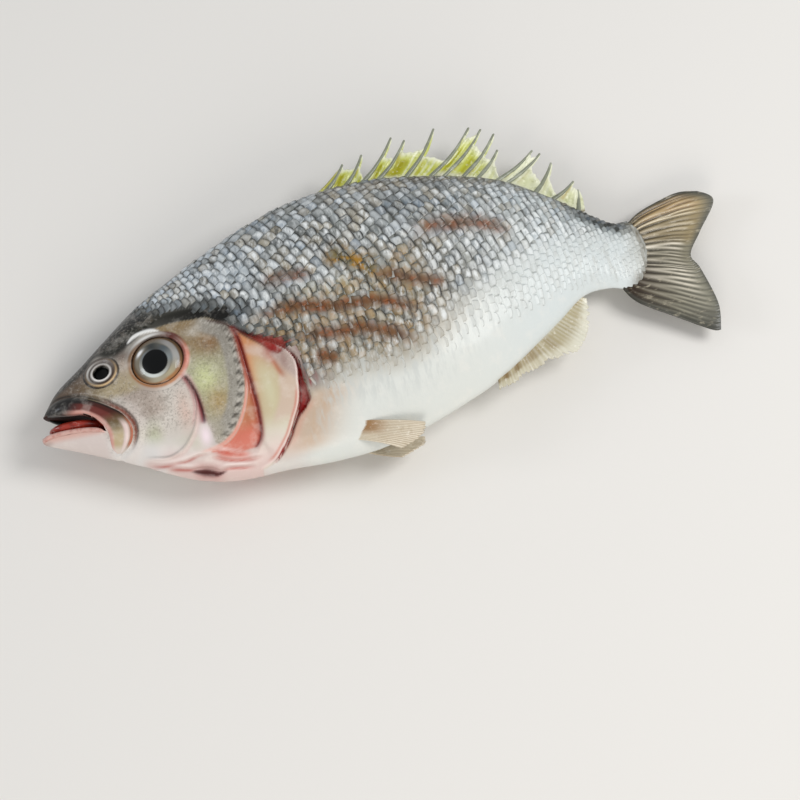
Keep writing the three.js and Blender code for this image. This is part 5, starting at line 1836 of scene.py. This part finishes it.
class FISH_OT_mouth(bpy.types.Operator):
    """Builds the lips and the tongue"""
    bl_idname = "fish.mouth"
    bl_label = "Lips and tongue"

    def execute(self, context):
        colours = context.scene.fish_colours
        settle(make_lips(bpy.data.materials["wet_fish_skin"]), "skin")
        settle(make_jaw_rim(flesh_material("pink_lip_flesh", "#cfa79c", "#b9786b")), "mouth_flesh")
        tongue = make_tongue(flesh_material("raw_tongue_flesh", colours.tongue, "#6a170d"))
        settle(tongue, "mouth_flesh", "tongue")
        return {"FINISHED"}


class FISH_OT_eyes(bpy.types.Operator):
    """Builds both eyes"""
    bl_idname = "fish.eyes"
    bl_label = "Eyes"

    def execute(self, context):
        material, iris = eye_material(), context.scene.fish_colours.iris
        for name, side in (("eye_left", 1), ("eye_right", -1)):
            settle(make_eye(name.replace("eye", "eyeball"), side, material, iris), "eye", name)
        return {"FINISHED"}


class FISH_OT_scales(bpy.types.Operator):
    """Covers both flanks with scales"""
    bl_idname = "fish.scales"
    bl_label = "Scales"

    def execute(self, context):
        sizes, colours = context.scene.fish_sizes, context.scene.fish_colours
        settle(make_scales(sizes, colours, scale_material(colours)), "skin")
        return {"FINISHED"}


class FISH_OT_back_fin(bpy.types.Operator):
    """Builds the spines of the back fin and the web between them"""
    bl_idname = "fish.back_fin"
    bl_label = "Back fin"

    def execute(self, context):
        web = fin_material(
            "yellow_fin_web", 0.36, ("#8f952c", 3, 0.5, 0.7, 0.4), ("#f2f3d8", 2, 0.55, 0.72, 0.5))
        foot_thick = context.scene.fish_sizes.spine_thickness * IN_MM
        for piece in make_back_fin(web, spine_material(), foot_thick, context.scene.fish_colours.web):
            settle(piece, "spiny_fin", "dorsal_fin")
        return {"FINISHED"}


class FISH_OT_tail(bpy.types.Operator):
    """Builds the forked tail fin"""
    bl_idname = "fish.tail"
    bl_label = "Tail fin"

    def execute(self, context):
        material = fin_material("brown_tail_skin", 0.42, ("#3f3a2c", 4, 0.52, 0.75, 0.35, (0.35, 1, 1)),
                                ("#d8cdb4", 2, 0.56, 0.74, 0.4, (0.35, 1, 1)))
        count, colour = context.scene.fish_sizes.tail_rays, context.scene.fish_colours.tail
        settle(make_tail(material, count, colour), "tail_skin", "tail_fin")
        return {"FINISHED"}


class FISH_OT_pale_fins(bpy.types.Operator):
    """Builds the belly fin near the tail and the two side fins"""
    bl_idname = "fish.pale_fins"
    bl_label = "Pale fins"

    def execute(self, context):
        material = fin_material(
            "pale_fin_skin", 0.38, ("#9c8355", 3, 0.55, 0.75, 0.3), ("#f6f2e6", 2, 0.55, 0.74, 0.4))
        count, colour = context.scene.fish_sizes.belly_fin_rays, context.scene.fish_colours.belly_fin
        settle(make_anal_fin(material, count, colour), "pale_fin", "anal_fin")
        for name, side in (("pectoral_fin_left", 1), ("pectoral_fin_right", -1)):
            settle(make_side_fin(name.replace("pectoral", "side"), side, material), "pale_fin", name)
        return {"FINISHED"}


class FISH_OT_stage(bpy.types.Operator):
    """Sets the floor, the light and the camera"""
    bl_idname = "fish.stage"
    bl_label = "Stage"

    def execute(self, context):
        sizes = context.scene.fish_sizes
        floor = add_floor(context.scene.fish_colours.floor)
        add_camera()
        add_room(sizes.room_light)
        add_light("key", (0.8, -0.1, 1.1), 1.5, 0.7, sizes.key_light, "#ffffff")
        for name, lamp in SIDE_LAMPS.items():
            add_light(name, *lamp)
        context.scene.view_settings.view_transform = "Standard"
        return {"FINISHED"}


OPERATORS = (
    FISH_OT_skin, FISH_OT_mouth, FISH_OT_eyes, FISH_OT_scales, FISH_OT_back_fin, FISH_OT_tail,
    FISH_OT_pale_fins, FISH_OT_stage,
)


class FISH_PT_panel(bpy.types.Panel):
    """Lists the pieces of the fish and what a user would change"""
    bl_idname = "FISH_PT_panel"
    bl_label = "Whole Raw Fish"
    bl_space_type = "VIEW_3D"
    bl_region_type = "UI"
    bl_category = "Fish"

    def draw(self, context):
        for group in (context.scene.fish_sizes, context.scene.fish_colours):
            for name in group.__annotations__:
                self.layout.prop(group, name)
        for operator in OPERATORS:
            self.layout.operator(operator.bl_idname)


CLASSES = (FishSizes, FishColours, *OPERATORS, FISH_PT_panel)


def register():
    for item in CLASSES:
        bpy.utils.register_class(item)
    bpy.types.Scene.fish_sizes = PointerProperty(type=FishSizes)
    bpy.types.Scene.fish_colours = PointerProperty(type=FishColours)


def unregister():
    del bpy.types.Scene.fish_sizes, bpy.types.Scene.fish_colours
    for item in reversed(CLASSES):
        bpy.utils.unregister_class(item)


def main():
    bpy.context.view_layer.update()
    register()
    for operator in OPERATORS:
        group, name = operator.bl_idname.split(".")
        getattr(getattr(bpy.ops, group), name)()
    bpy.context.view_layer.update()


if __name__ == "__main__":
    main()
